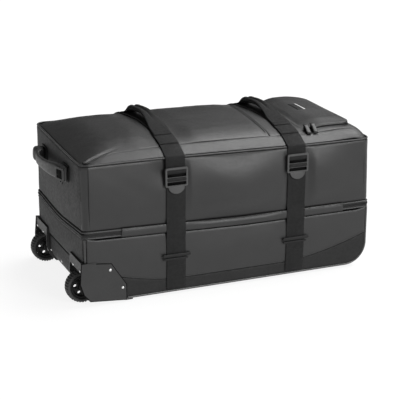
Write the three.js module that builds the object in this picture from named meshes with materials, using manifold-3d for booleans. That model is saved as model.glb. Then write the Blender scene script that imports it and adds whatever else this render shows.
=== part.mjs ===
// Wheeled tennis bag: a soft two-compartment bag with a hard-cornered base on two wheels.
// It is built as its sewn panels, piping, webbing, buckles and moulded wheel housings.
// Millimetres, +Z up. +X runs from the wheel end to the far end and -Y is the front.
import * as THREE from "three";
import { mergeVertices } from "three/addons/utils/BufferGeometryUtils.js";
import Module from "manifold-3d";

const wasm = await Module();
wasm.setup();

// Driving dimensions of the body
const LENGTH = 800;
const DEPTH = 414;
const SEAM_HEIGHT = 357;
const SEAM_SAG = 8;
const SAG_START = -300;
const SAG_RUN = 580;
const BACK_RISE = 13;
const TOP_FLARE_LONG = 2;
const TOP_TAPER_DEEP = 1;
const CORNER_LOW = 14;
const CORNER_HIGH = 26;
const BASE_CORNER = 62;
const BASE_TOP = 91;
const BASE_DIP = 36;
const BASE_FLAT = 150;
const BASE_CURVE = 1.6;
const BAND_TOP = 180;
const BAND_LIFT = 12;
const BAND_REACH = 430;
const BAND_END_RATE = 2.4;
const BAND_BACK_RISE = 10;
const BAND_HEIGHT = 20;
const BAND_PROUD = 1.5;
const CROWN = 24;
const CROWN_REACH = 75;
const END_FULL = 30;
const FULL_FROM = 250;
const FULL_RUN = 150;
const DOME = 14;
const BULGE = 5;

// Walls, trim and clearances
const WALL = 2.5;
const BASE_WALL = 3;
const GAP = 0.35;
const PIPE = 3.2;
const PIPE_INSET = 3.7;
const EDGE_INSET = 7.4;
const GUSSET_HALF = DEPTH / 2 - EDGE_INSET;

// Webbing, handles and buckles
const WEB = 52;
const WEB_THICK = 2.2;
const WEB_LIFT = 0.6;
const TOP_LIFT = 0.4;
const EDGE_LIFT = 0.6;
const STRAPS = [
  { name: "1", x: -158 },
  { name: "2", x: 179 },
];
const STRAP_LEAN = 13;
const LEAN_EDGE = 150;
const LEAN_RUN = 120;
const BUCKLE = { half: 30, low: 284, high: 333, thick: 5, slotHalf: 25.5 };
const TONGUE = { root: 22, tip: 17, low: 266 };
const SLIDER = { half: 38, z: 103, high: 9, thick: 4.5, round: 3 };
const HANDLE_FRONT = -58;
const HANDLE_BACK = 136;
const FLAP = { from: -303, to: 321, thick: 1.6, overlap: 2 };
const GRIP_Z = 316;

// Wheels and their housings
const WHEEL = { x: -395, z: 37, y: 162, radius: 42, half: 14, rim: 31.3 };
const AXLE = 5;
const BORE = 5.5;
const WELL = 48;
const WELL_PAST = 78;
const CUP_WALL = 3;
const PLATE_OUT = 210;
const PLATE_THICK = 5;
const PLATE_RIGHT = -293;
const PLATE_PAST = 20;
const FACE_DEPTH = 9;
const CUP_INNER = 105;
const CUP_TOP = 110;
const CUP_LEFT = -407;
const CUP_BACK = CUP_WALL + 1;

const HALF = LENGTH / 2;
const DEEP = DEPTH / 2;

// Small helpers
const clamp01 = (t) => Math.min(1, Math.max(0, t));
const smooth = (t) => clamp01(t) ** 2 * (3 - 2 * clamp01(t));
const lerp = (a, b, t) => a + (b - a) * t;
const range = (count) => Array.from({ length: count + 1 }, (_, i) => i / count);
const spread = (from, to, count) => range(count).map((t) => lerp(from, to, t));
const vec = (x, y, z) => new THREE.Vector3(x, y, z);

// Form of the body: heights of its seams and how far its walls stand out
const along = (x) => smooth((x - SAG_START) / SAG_RUN);
const seamZ = (x, y) => SEAM_HEIGHT - SEAM_SAG * along(x) + (BACK_RISE * (y + DEEP)) / DEPTH;
function bandTop(x, y) {
  const away = Math.hypot(x + HALF, BAND_END_RATE * (y + DEEP));
  return BAND_TOP + BAND_LIFT * clamp01(1 - away / BAND_REACH) + BAND_BACK_RISE * smooth(y / DEEP);
}
const bandLow = (x, y) => bandTop(x, y) - BAND_HEIGHT;
const taper = (z) => clamp01((z - BAND_TOP) / (SEAM_HEIGHT - BAND_TOP));
const halfLong = (z) => HALF + TOP_FLARE_LONG * taper(z);
const halfDeep = (z) => DEEP - TOP_TAPER_DEEP * taper(z);
const cornerAt = (z) => lerp(CORNER_LOW, CORNER_HIGH, taper(z));
const rest = (t) => Math.sin(Math.PI * clamp01(t));
const bulge = (side, high) => BULGE * rest(high) * Math.cos((side * Math.PI) / 2) ** 0.6;
const endShare = (x) => clamp01((Math.abs(x) - BASE_FLAT) / (HALF - BASE_FLAT));
const baseEdge = (x) => BASE_DIP + (BASE_TOP - BASE_DIP) * endShare(x) ** BASE_CURVE;

// Height of the front panel's lower outline, inset inside its piping
function outlineLow(x) {
  const past = Math.abs(x) - (HALF - BASE_CORNER);
  const radius = BASE_CORNER - EDGE_INSET;
  if (past <= 0) return EDGE_INSET;
  return BASE_CORNER - Math.sqrt(Math.max(0, radius * radius - past * past));
}

// Distance inside the top outline, and the crowned top
function insideTop(x, y) {
  const dx = halfLong(SEAM_HEIGHT) - Math.abs(x);
  const dy = halfDeep(SEAM_HEIGHT) - Math.abs(y);
  const cx = CORNER_HIGH - dx;
  const cy = CORNER_HIGH - dy;
  if (cx > 0 && cy > 0) return CORNER_HIGH - Math.hypot(cx, cy);
  return Math.min(dx, dy);
}
const crownReach = (x) => CROWN_REACH - END_FULL * smooth((Math.abs(x) - FULL_FROM) / FULL_RUN);
function topZ(x, y) {
  const edge = 1 - clamp01(insideTop(x, y) / crownReach(x));
  const dome = Math.cos((x / HALF) * (Math.PI / 2)) * Math.cos((y / DEEP) * (Math.PI / 2));
  return seamZ(x, y) + CROWN * (1 - edge * edge) + DOME * Math.max(0, dome);
}

// A closed solid through a row of rings. In a ring, point i lies across the wall from the i-th last.
function loft(rings, closed = false) {
  const count = rings[0].length;
  const index = [];
  const quad = (a, b, c, d) => index.push(a, b, c, a, c, d);
  const spans = closed ? rings.length : rings.length - 1;
  for (let r = 0; r < spans; r++) {
    const here = r * count;
    const next = ((r + 1) % rings.length) * count;
    for (let i = 0; i < count; i++) {
      const j = (i + 1) % count;
      quad(here + i, here + j, next + j, next + i);
    }
  }
  const last = (rings.length - 1) * count;
  for (let i = 0; !closed && i < count / 2 - 1; i++) {
    const j = count - 1 - i;
    quad(i + 1, i, j, j - 1);
    quad(last + i, last + i + 1, last + j - 1, last + j);
  }
  const points = rings.flat();
  const geometry = new THREE.BufferGeometry().setFromPoints(points);
  let volume = 0;
  for (let i = 0; i < index.length; i += 3) {
    const [a, b, c] = [points[index[i]], points[index[i + 1]], points[index[i + 2]]];
    volume += a.dot(b.clone().cross(c));
  }
  geometry.setIndex(volume < 0 ? index.reverse() : index);
  return geometry;
}

// A wall through columns and rows, with its outer and inner face given by one function of depth
function panel(columns, rows, face, wall) {
  const ring = (u) => [
    ...rows.map((v) => face(u, v, 0)),
    ...rows.map((v) => face(u, v, wall)).reverse(),
  ];
  return loft(columns.map(ring));
}

// A round tube through points in order, kept square to its path; a closed one joins its ends
function tube(points, radius, closed = false, sides = 8) {
  const at = (i) => points[(i + points.length) % points.length];
  const rings = points.map((p, i) => {
    const before = closed || i > 0 ? at(i - 1) : p;
    const after = closed || i < points.length - 1 ? at(i + 1) : p;
    const way = after.clone().sub(before).normalize();
    const reference = Math.abs(way.z) > 0.9 ? vec(0, 1, 0) : vec(0, 0, 1);
    const side = way.clone().cross(reference).normalize();
    if (Math.abs(way.y) < 0.2 && !closed) side.set(0, 1, 0);
    const up = side.clone().cross(way).normalize();
    return range(sides - 1).map((_, k) => {
      const turn = ((k + 0.5) / sides) * 2 * Math.PI;
      const out = side.clone().multiplyScalar(Math.cos(turn) * radius);
      return p.clone().add(out).addScaledVector(up, Math.sin(turn) * radius);
    });
  });
  return loft(rings, closed);
}

// A flat strap across X through path points that carry their outward normal, and may carry their size
function ribbon(path) {
  return loft(
    path.map(({ at, normal, wide = WEB, thick = WEB_THICK, lift = WEB_LIFT }) => {
      const low = at.clone().addScaledVector(normal, lift);
      const high = low.clone().addScaledVector(normal, thick);
      const reach = vec(wide / 2, 0, 0);
      const across = (edge, way) => edge.clone().addScaledVector(reach, way);
      return [across(low, -1), across(low, 1), across(high, 1), across(high, -1)];
    }),
  );
}

// Extrusions of an outline drawn in X and Z, running along Y, and in X and Y, running up Z
function extrudeY(shape, yFrom, yTo) {
  const geometry = new THREE.ExtrudeGeometry(shape, {
    depth: yTo - yFrom,
    bevelEnabled: false,
    curveSegments: 6,
  });
  return geometry.rotateX(Math.PI / 2).translate(0, yTo, 0);
}
function extrudeZ(shape, zFrom, zTo, curveSegments = 6) {
  const geometry = new THREE.ExtrudeGeometry(shape, {
    depth: zTo - zFrom,
    bevelEnabled: false,
    curveSegments,
  });
  return geometry.translate(0, 0, zFrom);
}
const outline = (rows) => new THREE.Shape(rows.map(([x, z]) => new THREE.Vector2(x, z)));
function roundedRect(x0, y0, x1, y1, r) {
  const shape = new THREE.Shape();
  shape.absarc(x1 - r, y1 - r, r, 0, Math.PI / 2);
  shape.absarc(x0 + r, y1 - r, r, Math.PI / 2, Math.PI);
  shape.absarc(x0 + r, y0 + r, r, Math.PI, 1.5 * Math.PI);
  shape.absarc(x1 - r, y0 + r, r, 1.5 * Math.PI, 2 * Math.PI);
  shape.closePath();
  return shape;
}

// Joins and cuts
function solid(geometry) {
  const bare = new THREE.BufferGeometry().setAttribute("position", geometry.getAttribute("position"));
  if (geometry.index) bare.setIndex(geometry.index);
  const merged = mergeVertices(bare, 1e-4);
  return new wasm.Manifold(
    new wasm.Mesh({
      numProp: 3,
      vertProperties: merged.attributes.position.array,
      triVerts: new Uint32Array(merged.index.array),
    }),
  );
}
function geometryOf(manifold) {
  const mesh = manifold.getMesh();
  return new THREE.BufferGeometry()
    .setAttribute("position", new THREE.BufferAttribute(mesh.vertProperties, 3))
    .setIndex(new THREE.BufferAttribute(mesh.triVerts, 1));
}
const cut = (geometry, ...tools) =>
  geometryOf(tools.reduce((left, tool) => left.subtract(solid(tool)), solid(geometry)));

// Materials
const finish = (color, roughness, metalness = 0) => () =>
  new THREE.MeshStandardMaterial({ color, roughness, metalness });
const SHELL = finish(0x48484a, 0.55);
const BASE = finish(0x2c2c2e, 0.6);
const TRIM = finish(0x1c1c1d, 0.5);
const FLAP_CLOTH = finish(0x5a5a5c, 0.4);
const WEBBING = finish(0x2b2b2d, 0.8);
const PLASTIC = finish(0x3a3a3c, 0.5);
const BUCKLE_PLASTIC = finish(0x3f3f42, 0.35);
const RUBBER = finish(0x161617, 0.8);
const HUB = finish(0x1e1e20, 0.4);
const STEEL = finish(0x9a9a9c, 0.3, 1);

const bag = new THREE.Group();
function add(name, geometry, material) {
  const mesh = new THREE.Mesh(geometry, material());
  mesh.name = name;
  bag.add(mesh);
}

// The four sides of the body: where a place along a side and its stand-out lie in plan
const SIDES = {
  front: { long: true, place: (a, out) => [a, -out] },
  back: { long: true, place: (a, out) => [a, out] },
  wheel_end: { long: false, place: (a, out) => [-out, a] },
  far_end: { long: false, place: (a, out) => [out, a] },
};
const STRAIGHT = { long: 12, short: 8 };
const ARC_STEPS = 3;

// Stations along one side of the rounded plan, from the middle of one corner to the middle of the next
function stations(side) {
  const turn = range(ARC_STEPS).map((t) => (t * Math.PI) / 4);
  const straight = spread(-1, 1, side.long ? STRAIGHT.long : STRAIGHT.short);
  return [
    ...turn.slice(1).reverse().map((angle) => ({ share: -1, angle: -angle })),
    ...straight.map((share) => ({ share, angle: 0 })),
    ...turn.slice(1).map((angle) => ({ share: 1, angle })),
  ];
}
function sidePoint(side, station, z, proud) {
  const r = cornerAt(z);
  const reach = (side.long ? halfLong(z) : halfDeep(z)) - r;
  const out = (side.long ? halfDeep(z) : halfLong(z)) - r;
  const trim = Math.abs(station.angle) > 0.7 ? GAP / 2 : 0;
  const a = station.share * reach + Math.sin(station.angle) * (r + proud);
  const o = out + Math.cos(station.angle) * (r + proud);
  const [x, y] = side.place(a - Math.sign(station.angle) * trim, o + trim);
  return vec(x, y, z);
}

// A wall round one side between two heights that may change along it
function sideWall(side, low, high, rows, proud, swell) {
  const face = (station, v, depth) => {
    const flat = sidePoint(side, station, BAND_TOP, 0);
    const z = lerp(low(flat.x, flat.y), high(flat.x, flat.y), v);
    const puff = swell ? bulge(station.share, v) : 0;
    return sidePoint(side, station, z, proud + puff - depth);
  };
  return panel(stations(side), rows, face, WALL);
}

// Upper compartment walls and the zip band under them
const UPPER_ROWS = [0, 0.2, 0.5, 0.8, 1];
const wallTop = (x, y) => seamZ(x, y) - PIPE - GAP;
for (const [name, side] of Object.entries(SIDES)) {
  const low = (x, y) => bandTop(x, y) + GAP;
  add("upper_" + name + "_panel", sideWall(side, low, wallTop, UPPER_ROWS, 0, true), SHELL);
  add("zip_band_" + name, sideWall(side, bandLow, bandTop, [0, 1], BAND_PROUD, false), TRIM);
}

// Storm flap over the front zip
const flapOut = DEEP + BAND_PROUD + GAP;
add(
  "front_zip_flap",
  panel(
    spread(FLAP.from, FLAP.to, 10),
    [0, 1],
    (x, v, depth) => {
      const low = bandLow(x, -DEEP) - FLAP.overlap;
      return vec(x, -(flapOut + FLAP.thick - depth), lerp(low, bandTop(x, -DEEP) + FLAP.overlap, v));
    },
    FLAP.thick,
  ),
  FLAP_CLOTH,
);

// Housing outlines in X and Z: the outer plate, the wheel cup and the well inside it
const plateShape = (grow) =>
  outline([
    [CUP_LEFT - grow, CUP_TOP + grow],
    [-331 + grow * 0.4, 101 + grow],
    [PLATE_RIGHT + grow, 42 + grow * 0.6],
    [PLATE_RIGHT + grow, 1 - grow],
    [-386 - grow * 0.5, 10 - grow],
    [-402 - grow, 29 - grow * 0.5],
    [-411 - grow, 58],
  ]);
function cupShape(grow) {
  const shape = new THREE.Shape();
  const radius = WELL + CUP_WALL + grow;
  shape.moveTo(CUP_LEFT - grow, CUP_TOP + grow);
  shape.lineTo(-370 + grow, CUP_TOP + grow);
  shape.absarc(WHEEL.x, WHEEL.z, radius, Math.PI / 3, 0, true);
  shape.lineTo(WHEEL.x + radius, 8 - grow);
  shape.lineTo(-384, 12 - grow);
  shape.lineTo(-400 - grow, 31);
  shape.lineTo(-409 - grow, 58);
  shape.closePath();
  return shape;
}
function wellShape() {
  const shape = new THREE.Shape();
  shape.moveTo(WHEEL.x - WELL_PAST, WHEEL.z + WELL);
  shape.lineTo(WHEEL.x, WHEEL.z + WELL);
  shape.absarc(WHEEL.x, WHEEL.z, WELL, Math.PI / 2, 0, true);
  shape.lineTo(WHEEL.x + WELL, -WELL_PAST);
  shape.lineTo(WHEEL.x - WELL_PAST, -WELL_PAST);
  shape.closePath();
  return shape;
}
const between = (sign, near, far) => (sign < 0 ? [-far, -near] : [near, far]);
const CLEARANCES = [-1, 1].flatMap((sign) => [
  extrudeY(plateShape(GAP), ...between(sign, PLATE_OUT - FACE_DEPTH, PLATE_OUT + PLATE_PAST)),
  extrudeY(cupShape(GAP), ...between(sign, CUP_INNER - GAP, PLATE_OUT + PLATE_PAST)),
  extrudeY(wellShape(), ...between(sign, CUP_INNER - GAP, PLATE_OUT + PLATE_PAST)),
]);

// Lower compartment: front and back faces, split along the dark base's upper edge
const FACE_COLUMNS = [-1, -0.975, -0.93, -0.88, -0.8, -0.66, -0.5, -0.34, -0.17, 0];
const faceReach = HALF - EDGE_INSET;
const faceXs = [...FACE_COLUMNS, ...FACE_COLUMNS.slice(0, -1).map((t) => -t).reverse()].map(
  (t) => t * faceReach,
);
const LOWER_BULGE = 3.5;
const END_BULGE = 0.6;
const lowerSwell = (x, z) => {
  const high = (z - BASE_DIP) / (BAND_TOP - BAND_HEIGHT - BASE_DIP);
  return LOWER_BULGE * rest(high) * Math.cos((x / HALF) * (Math.PI / 2));
};
function lowerFace(sign, low, high, rows) {
  const face = (x, v, depth) => {
    const z = lerp(low(x), high(x), v);
    const y = DEEP + Math.max(0, lowerSwell(x, z)) - depth;
    return vec(x, sign * y, z);
  };
  return cut(panel(faceXs, rows, face, WALL), ...CLEARANCES);
}
for (const [name, sign] of [["front", -1], ["back", 1]]) {
  const bandEdge = (x) => bandLow(x, sign * DEEP) - GAP;
  add(name + "_base_panel", lowerFace(sign, outlineLow, baseEdge, [0, 1]), BASE);
  add(
    "lower_" + name + "_panel",
    lowerFace(sign, (x) => baseEdge(x) + GAP, bandEdge, [0, 0.25, 0.5, 0.75, 1]),
    SHELL,
  );
}

// Base: one wall that lies flat and turns up both ends
function baseOutline(inset, top) {
  const radius = BASE_CORNER - inset;
  const arc = (centre, from) =>
    range(6).map((t) => {
      const angle = from + (t * Math.PI) / 2;
      return vec(centre + radius * Math.cos(angle), 0, BASE_CORNER + radius * Math.sin(angle));
    });
  const middle = HALF - BASE_CORNER;
  return [
    vec(-HALF + inset, 0, top),
    ...arc(-middle, Math.PI),
    ...arc(middle, 1.5 * Math.PI),
    vec(HALF - inset, 0, top),
  ];
}
const baseOuter = baseOutline(0, BASE_TOP);
const baseInner = baseOutline(BASE_WALL, BASE_TOP);
const basePanel = loft(
  baseOuter.map((p, i) => [
    vec(p.x, -GUSSET_HALF, p.z),
    vec(p.x, GUSSET_HALF, p.z),
    vec(baseInner[i].x, GUSSET_HALF, baseInner[i].z),
    vec(baseInner[i].x, -GUSSET_HALF, baseInner[i].z),
  ]),
);
add("base_panel", cut(basePanel, ...CLEARANCES), BASE);

// Feet that hold the flat base level with the wheels' lowest point
const FOOT = { long: 20, wide: 14, ground: WHEEL.z - WHEEL.radius };
const FEET = [
  { name: "wheel_end_front", x: -282, y: -192 },
  { name: "wheel_end_back", x: -282, y: 192 },
  { name: "far_end_front", x: 300, y: -120 },
  { name: "far_end_back", x: 300, y: 120 },
];
for (const { name, x, y } of FEET) {
  const foot = new THREE.BoxGeometry(FOOT.long, FOOT.wide, -FOOT.ground - GAP);
  add("base_foot_" + name, foot.translate(x, y, (FOOT.ground - GAP) / 2), PLASTIC);
}

// Lower end walls above the base
for (const [name, sign] of [["wheel_end", -1], ["far_end", 1]]) {
  const face = (y, v, depth) => {
    const x = sign * (HALF + END_BULGE * bulge(y / DEEP, v) - depth);
    return vec(x, y, lerp(BASE_TOP + GAP, bandLow(sign * HALF, y) - GAP, v));
  };
  const wall = panel(spread(-GUSSET_HALF, GUSSET_HALF, 8), [0, 0.5, 1], face, WALL);
  add("lower_" + name + "_panel", cut(wall, ...CLEARANCES), SHELL);
}

// Piping of the lower compartment: a short upright at the wheel end, and the long edge round the far end
const pipeY = DEEP - PIPE_INSET;
const pipeLine = baseOutline(PIPE_INSET, BASE_TOP);
for (const [name, sign] of [["front", -1], ["back", 1]]) {
  const y = sign * pipeY;
  const topAt = (x) => bandLow(x, y) - GAP;
  const uprightX = -HALF + PIPE_INSET;
  const upright = [CUP_TOP + 2 * GAP, topAt(uprightX)].map((z) => vec(uprightX, y, z));
  const start = vec(PLATE_RIGHT + 2 * GAP, y, PIPE_INSET);
  const edge = pipeLine.filter((p) => p.x > start.x).map((p) => vec(p.x, y, p.z));
  edge.push(vec(HALF - PIPE_INSET, y, topAt(HALF)));
  add(name + "_corner_piping", tube(upright, PIPE), TRIM);
  add(name + "_edge_piping", tube([start, ...edge], PIPE), TRIM);
}

// Top edge piping, a closed loop on the seam
const ROUND_ORDER = [
  { name: "front", forward: true },
  { name: "far_end", forward: true },
  { name: "back", forward: false },
  { name: "wheel_end", forward: false },
];
const topPipe = ROUND_ORDER.flatMap(({ name, forward }) => {
  const row = stations(SIDES[name]);
  const ordered = forward ? row.slice(0, -1) : row.slice(1).reverse();
  return ordered.map((station) => {
    const flat = sidePoint(SIDES[name], station, SEAM_HEIGHT, -PIPE);
    return vec(flat.x, flat.y, seamZ(flat.x, flat.y));
  });
});
add("top_piping", tube(topPipe, PIPE, true, 6), TRIM);

// Crowned top, cut along its seams into the front strip, the main panel and the far panel
const topInset = 2 * PIPE + GAP;
const topHalfX = halfLong(SEAM_HEIGHT) - topInset;
const topHalfY = halfDeep(SEAM_HEIGHT) - topInset;
const SIDE_STEPS = [0, 14, 32, 54, CROWN_REACH];
const END_STEPS = [0, 10, 23, 40, CROWN_REACH];
const gridLine = (half, middle, steps) => {
  const low = steps.map((step) => -half + step);
  const inner = spread(-half + CROWN_REACH, half - CROWN_REACH, middle).slice(1, -1);
  return [...low, ...inner, ...low.map((v) => -v).reverse()];
};
const FRONT_SEAM = -168;
const SEAM_CUT = 0.4;
const PAST_EDGE = 10;
const CUT_LOW = 300;
const CUT_HIGH = 450;
const topSlab = panel(
  gridLine(topHalfX, 5, END_STEPS),
  gridLine(topHalfY, 3, SIDE_STEPS),
  (x, y, depth) => vec(x, y, topZ(x, y) - depth),
  WALL,
);
const topRim = roundedRect(-topHalfX, -topHalfY, topHalfX, topHalfY, CORNER_HIGH - topInset);
const trimmed = solid(topSlab).intersect(solid(extrudeZ(topRim, CUT_LOW, CUT_HIGH, 4)));
const CROSS_SEAM = [
  { x: 121, y: FRONT_SEAM },
  { x: 120.5, y: -140 },
  { x: 122, y: -95 },
  { x: 127, y: -20 },
  { x: 138, y: 85 },
  { x: 155, y: DEEP + PAST_EDGE },
];
const FRONT_SEAM_RUN = [
  { x: -391, y: -DEEP },
  { x: -383, y: -191 },
  { x: -368, y: -183 },
  { x: -340, y: -175 },
  { x: -300, y: FRONT_SEAM },
  { x: HALF + PAST_EDGE, y: FRONT_SEAM },
];
const blade = (points) =>
  loft(
    points.map(({ x, y }, i) => {
      const a = points[Math.max(0, i - 1)];
      const b = points[Math.min(points.length - 1, i + 1)];
      const length = Math.hypot(b.x - a.x, b.y - a.y);
      const nx = ((b.y - a.y) / length) * (SEAM_CUT / 2);
      const ny = (-(b.x - a.x) / length) * (SEAM_CUT / 2);
      const left = (z) => vec(x - nx, y - ny, z);
      const right = (z) => vec(x + nx, y + ny, z);
      return [left(CUT_LOW), right(CUT_LOW), right(CUT_HIGH), left(CUT_HIGH)];
    }),
  );
const pieces = trimmed
  .subtract(solid(blade(FRONT_SEAM_RUN)))
  .subtract(solid(blade(CROSS_SEAM)))
  .decompose();
for (const piece of pieces) {
  const { min, max } = piece.boundingBox();
  const isStrip = max[1] < FRONT_SEAM + 1;
  const isMain = min[0] < 0;
  const panelName = isMain ? "top_main_panel" : "top_far_panel";
  add(isStrip ? "top_front_strip" : panelName, geometryOf(piece), SHELL);
}

// Raised zipped pocket on the far end of the top, its plain label and its two pulls
const POCKET = { x0: 220, x1: 372, y0: -154, y1: 158, round: 26, backRound: 62, rise: 11, wall: 2.2 };
const LABEL = { x0: 277, x1: 303, y0: -18, y1: 43, thick: 1 };
const BELOW = 12;
const layOn = (box, columns, rows, low, high) =>
  panel(
    spread(box.x0, box.x1, columns),
    spread(box.y0, box.y1, rows),
    (x, y, depth) => vec(x, y, topZ(x, y) + high - depth),
    high - low,
  );
const pocketLow = 5 * GAP;
function pocketBlock(inset, low, high) {
  const { x0, x1, y0, y1, round, backRound } = POCKET;
  const box = { x0: x0 + inset, x1: x1 - inset, y0: y0 + inset, y1: y1 - inset };
  const front = roundedRect(box.x0, box.y0, box.x1, box.y1 + backRound, round - inset);
  const back = roundedRect(box.x0, box.y0 - backRound, box.x1, box.y1, backRound - inset);
  return [front, back].reduce(
    (block, rim) => block.intersect(solid(extrudeZ(rim, CUT_LOW, CUT_HIGH))),
    solid(layOn(box, 8, 12, low, high)),
  );
}
const pocketSkin = pocketBlock(0, pocketLow, POCKET.rise);
const pocketHollow = pocketBlock(POCKET.wall, -BELOW, POCKET.rise - POCKET.wall);
add("top_pocket", geometryOf(pocketSkin.subtract(pocketHollow)), SHELL);
const labelLow = POCKET.rise + GAP;
add("pocket_label", layOn(LABEL, 2, 4, labelLow, labelLow + LABEL.thick), BASE);
const PULL_ROWS = [
  { ahead: GAP, rise: 10, steep: 0.9 },
  { ahead: 6, rise: 7, steep: 0.9 },
  { ahead: 14, rise: 3, steep: 0.6 },
  { ahead: 21, rise: 1.4, steep: 0.4 },
];
const PULL = { wide: 12, thick: 2.4, lift: 0 };
const PULLS = [
  { name: "left", x: 233 },
  { name: "right", x: 253 },
];
for (const { name, x } of PULLS) {
  const path = PULL_ROWS.map(({ ahead, rise, steep }) => {
    const y = POCKET.y0 - ahead;
    const normal = vec(0, -steep, 1 - steep / 2).normalize();
    return { at: vec(x, y, topZ(x, y) + rise), normal, ...PULL };
  });
  add("pocket_pull_" + name, ribbon(path), BUCKLE_PLASTIC);
}

// How far the front and the back skin stand out, straps lying over the flap
const BAND_MARGIN = FLAP.overlap + 3;
const HAIR = 0.1;
function skinOut(x, z, sign) {
  const y = sign * DEEP;
  if (z > bandTop(x, y) + BAND_MARGIN + HAIR) {
    const low = bandTop(x, y);
    return halfDeep(z) + bulge(x / HALF, (z - low) / (wallTop(x, y) - low));
  }
  if (z > bandLow(x, y) - BAND_MARGIN - HAIR) return sign < 0 ? flapOut + FLAP.thick : DEEP + BAND_PROUD;
  return DEEP + Math.max(0, lowerSwell(x, z));
}
const leanAt = (y) => STRAP_LEAN * smooth((LEAN_EDGE - Math.abs(y)) / LEAN_RUN);
const onSkin = (x, z, sign) => ({
  at: vec(x, sign * skinOut(x, z, sign), z),
  normal: vec(0, sign, 0),
});
const overEdge = (x, sign) => {
  const y = sign * (halfDeep(SEAM_HEIGHT) - PIPE);
  const z = seamZ(x, y);
  return [0.02, 0.28, 0.52, 0.76].map((t) => {
    const angle = (t * Math.PI) / 2;
    const normal = vec(0, sign * Math.cos(angle), Math.sin(angle));
    return { at: vec(x, y, z).addScaledVector(normal, PIPE + EDGE_LIFT), normal };
  });
};
const onTop = (x, y) => {
  const slope = (topZ(x, y + 1) - topZ(x, y - 1)) / 2;
  return { at: vec(x + leanAt(y), y, topZ(x, y) + TOP_LIFT), normal: vec(0, -slope, 1).normalize() };
};

// Straps, carry handles, buckles and sliders
const STRAP_SPLIT = 304;
const ANCHOR_TOP = 99;
const UPRIGHT_HIGH = [STRAP_SPLIT + GAP, 318, 332, 344];
const UPRIGHT_LOW = [ANCHOR_TOP + GAP, 120, 138];
const UPRIGHT_MIDDLE = [215, 235, 255, 280, STRAP_SPLIT];
const ANCHOR_ZS = [10, 34, 60, 82, ANCHOR_TOP];
const BACK_LOW = [10, 34, 60, 90, 120, 138];
const BACK_HIGH = [215, 245, 280, 320, 344];
const bandStep = (x, sign) => {
  const y = sign * DEEP;
  return [bandLow(x, y) - BAND_MARGIN, bandTop(x, y) + BAND_MARGIN];
};
const TOP_STEPS = [188, 172, 158, 143, 124, 100, 76];
const HANDLE_ROWS = [
  { y: HANDLE_FRONT, rise: 0, wide: WEB, thick: 3.4 },
  { y: -51, rise: 0.4, wide: WEB, thick: 3.6 },
  { y: -44, rise: 4, wide: WEB, thick: 4 },
  { y: -36, rise: 11, wide: 47, thick: 5 },
  { y: -24, rise: 16, wide: 39, thick: 7 },
  { y: 0, rise: 18, wide: 33, thick: 9 },
  { y: 40, rise: 19, wide: 32, thick: 9.5 },
  { y: 80, rise: 18, wide: 33, thick: 9 },
  { y: 102, rise: 16, wide: 39, thick: 7 },
  { y: 114, rise: 11, wide: 47, thick: 5 },
  { y: 122, rise: 4, wide: WEB, thick: 4 },
  { y: 129, rise: 0.4, wide: WEB, thick: 3.6 },
  { y: HANDLE_BACK, rise: 0, wide: WEB, thick: 3.4 },
];
function handlePath(x) {
  const points = HANDLE_ROWS.map(({ y, rise }) => vec(x + leanAt(y), y, topZ(x, y) + TOP_LIFT + rise));
  return HANDLE_ROWS.map(({ wide, thick }, i) => {
    const way = points[Math.min(i + 1, points.length - 1)].clone().sub(points[Math.max(i - 1, 0)]);
    return { at: points[i], normal: vec(0, -way.z, way.y).normalize(), wide, thick };
  });
}
const BUCKLE_SLOTS = [
  { from: 307, to: 327 },
  { from: 288, to: 296 },
];
function buckleShape(x) {
  const { half, low, high, slotHalf } = BUCKLE;
  const shape = outline([
    [x - half, high],
    [x - half, low],
    [x - TONGUE.root, low],
    [x - TONGUE.tip, TONGUE.low],
    [x + TONGUE.tip, TONGUE.low],
    [x + TONGUE.root, low],
    [x + half, low],
    [x + half, high],
  ]);
  shape.holes = BUCKLE_SLOTS.map(({ from, to }) =>
    outline([
      [x - slotHalf, from],
      [x - slotHalf, to],
      [x + slotHalf, to],
      [x + slotHalf, from],
    ]),
  );
  return shape;
}
for (const { name, x } of STRAPS) {
  const front = (zs) => zs.map((z) => onSkin(x, z, -1));
  const lowerZs = [...UPRIGHT_LOW, ...bandStep(x, -1), ...UPRIGHT_MIDDLE];
  const nearTop = TOP_STEPS.map((out) => onTop(x, -out));
  const farTop = TOP_STEPS.map((out) => onTop(x, out)).reverse();
  add("strap_anchor_" + name, ribbon(front(ANCHOR_ZS)), WEBBING);
  add("strap_lower_" + name, ribbon(front(lowerZs)), WEBBING);
  const upper = [...front(UPRIGHT_HIGH), ...overEdge(x, -1), ...nearTop, onTop(x, HANDLE_FRONT - 3 * GAP)];
  add("strap_upper_" + name, ribbon(upper), WEBBING);
  add("carry_handle_" + name, ribbon(handlePath(x)), WEBBING);
  const backZs = [...BACK_LOW, ...bandStep(x, 1), ...BACK_HIGH];
  const down = backZs.map((z) => onSkin(x, z, 1)).reverse();
  const back = [onTop(x, HANDLE_BACK + 3 * GAP), ...farTop.slice(3), ...overEdge(x, 1).reverse(), ...down];
  add("strap_back_" + name, ribbon(back), WEBBING);
  const behindZs = [...UPRIGHT_MIDDLE.slice(-2), ...UPRIGHT_HIGH];
  const strapOut = Math.max(...behindZs.map((z) => skinOut(x, z, -1)));
  const face = strapOut + WEB_LIFT + WEB_THICK + GAP;
  add("buckle_" + name, extrudeY(buckleShape(x), -face - BUCKLE.thick, -face), BUCKLE_PLASTIC);
  const slideFace = skinOut(x, SLIDER.z, -1) + WEB_LIFT + WEB_THICK + 2 * GAP;
  const low = SLIDER.z - SLIDER.high / 2;
  const bar = roundedRect(x - SLIDER.half, low, x + SLIDER.half, low + SLIDER.high, SLIDER.round);
  add("slider_" + name, extrudeY(bar, -slideFace - SLIDER.thick, -slideFace), BUCKLE_PLASTIC);
}

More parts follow.
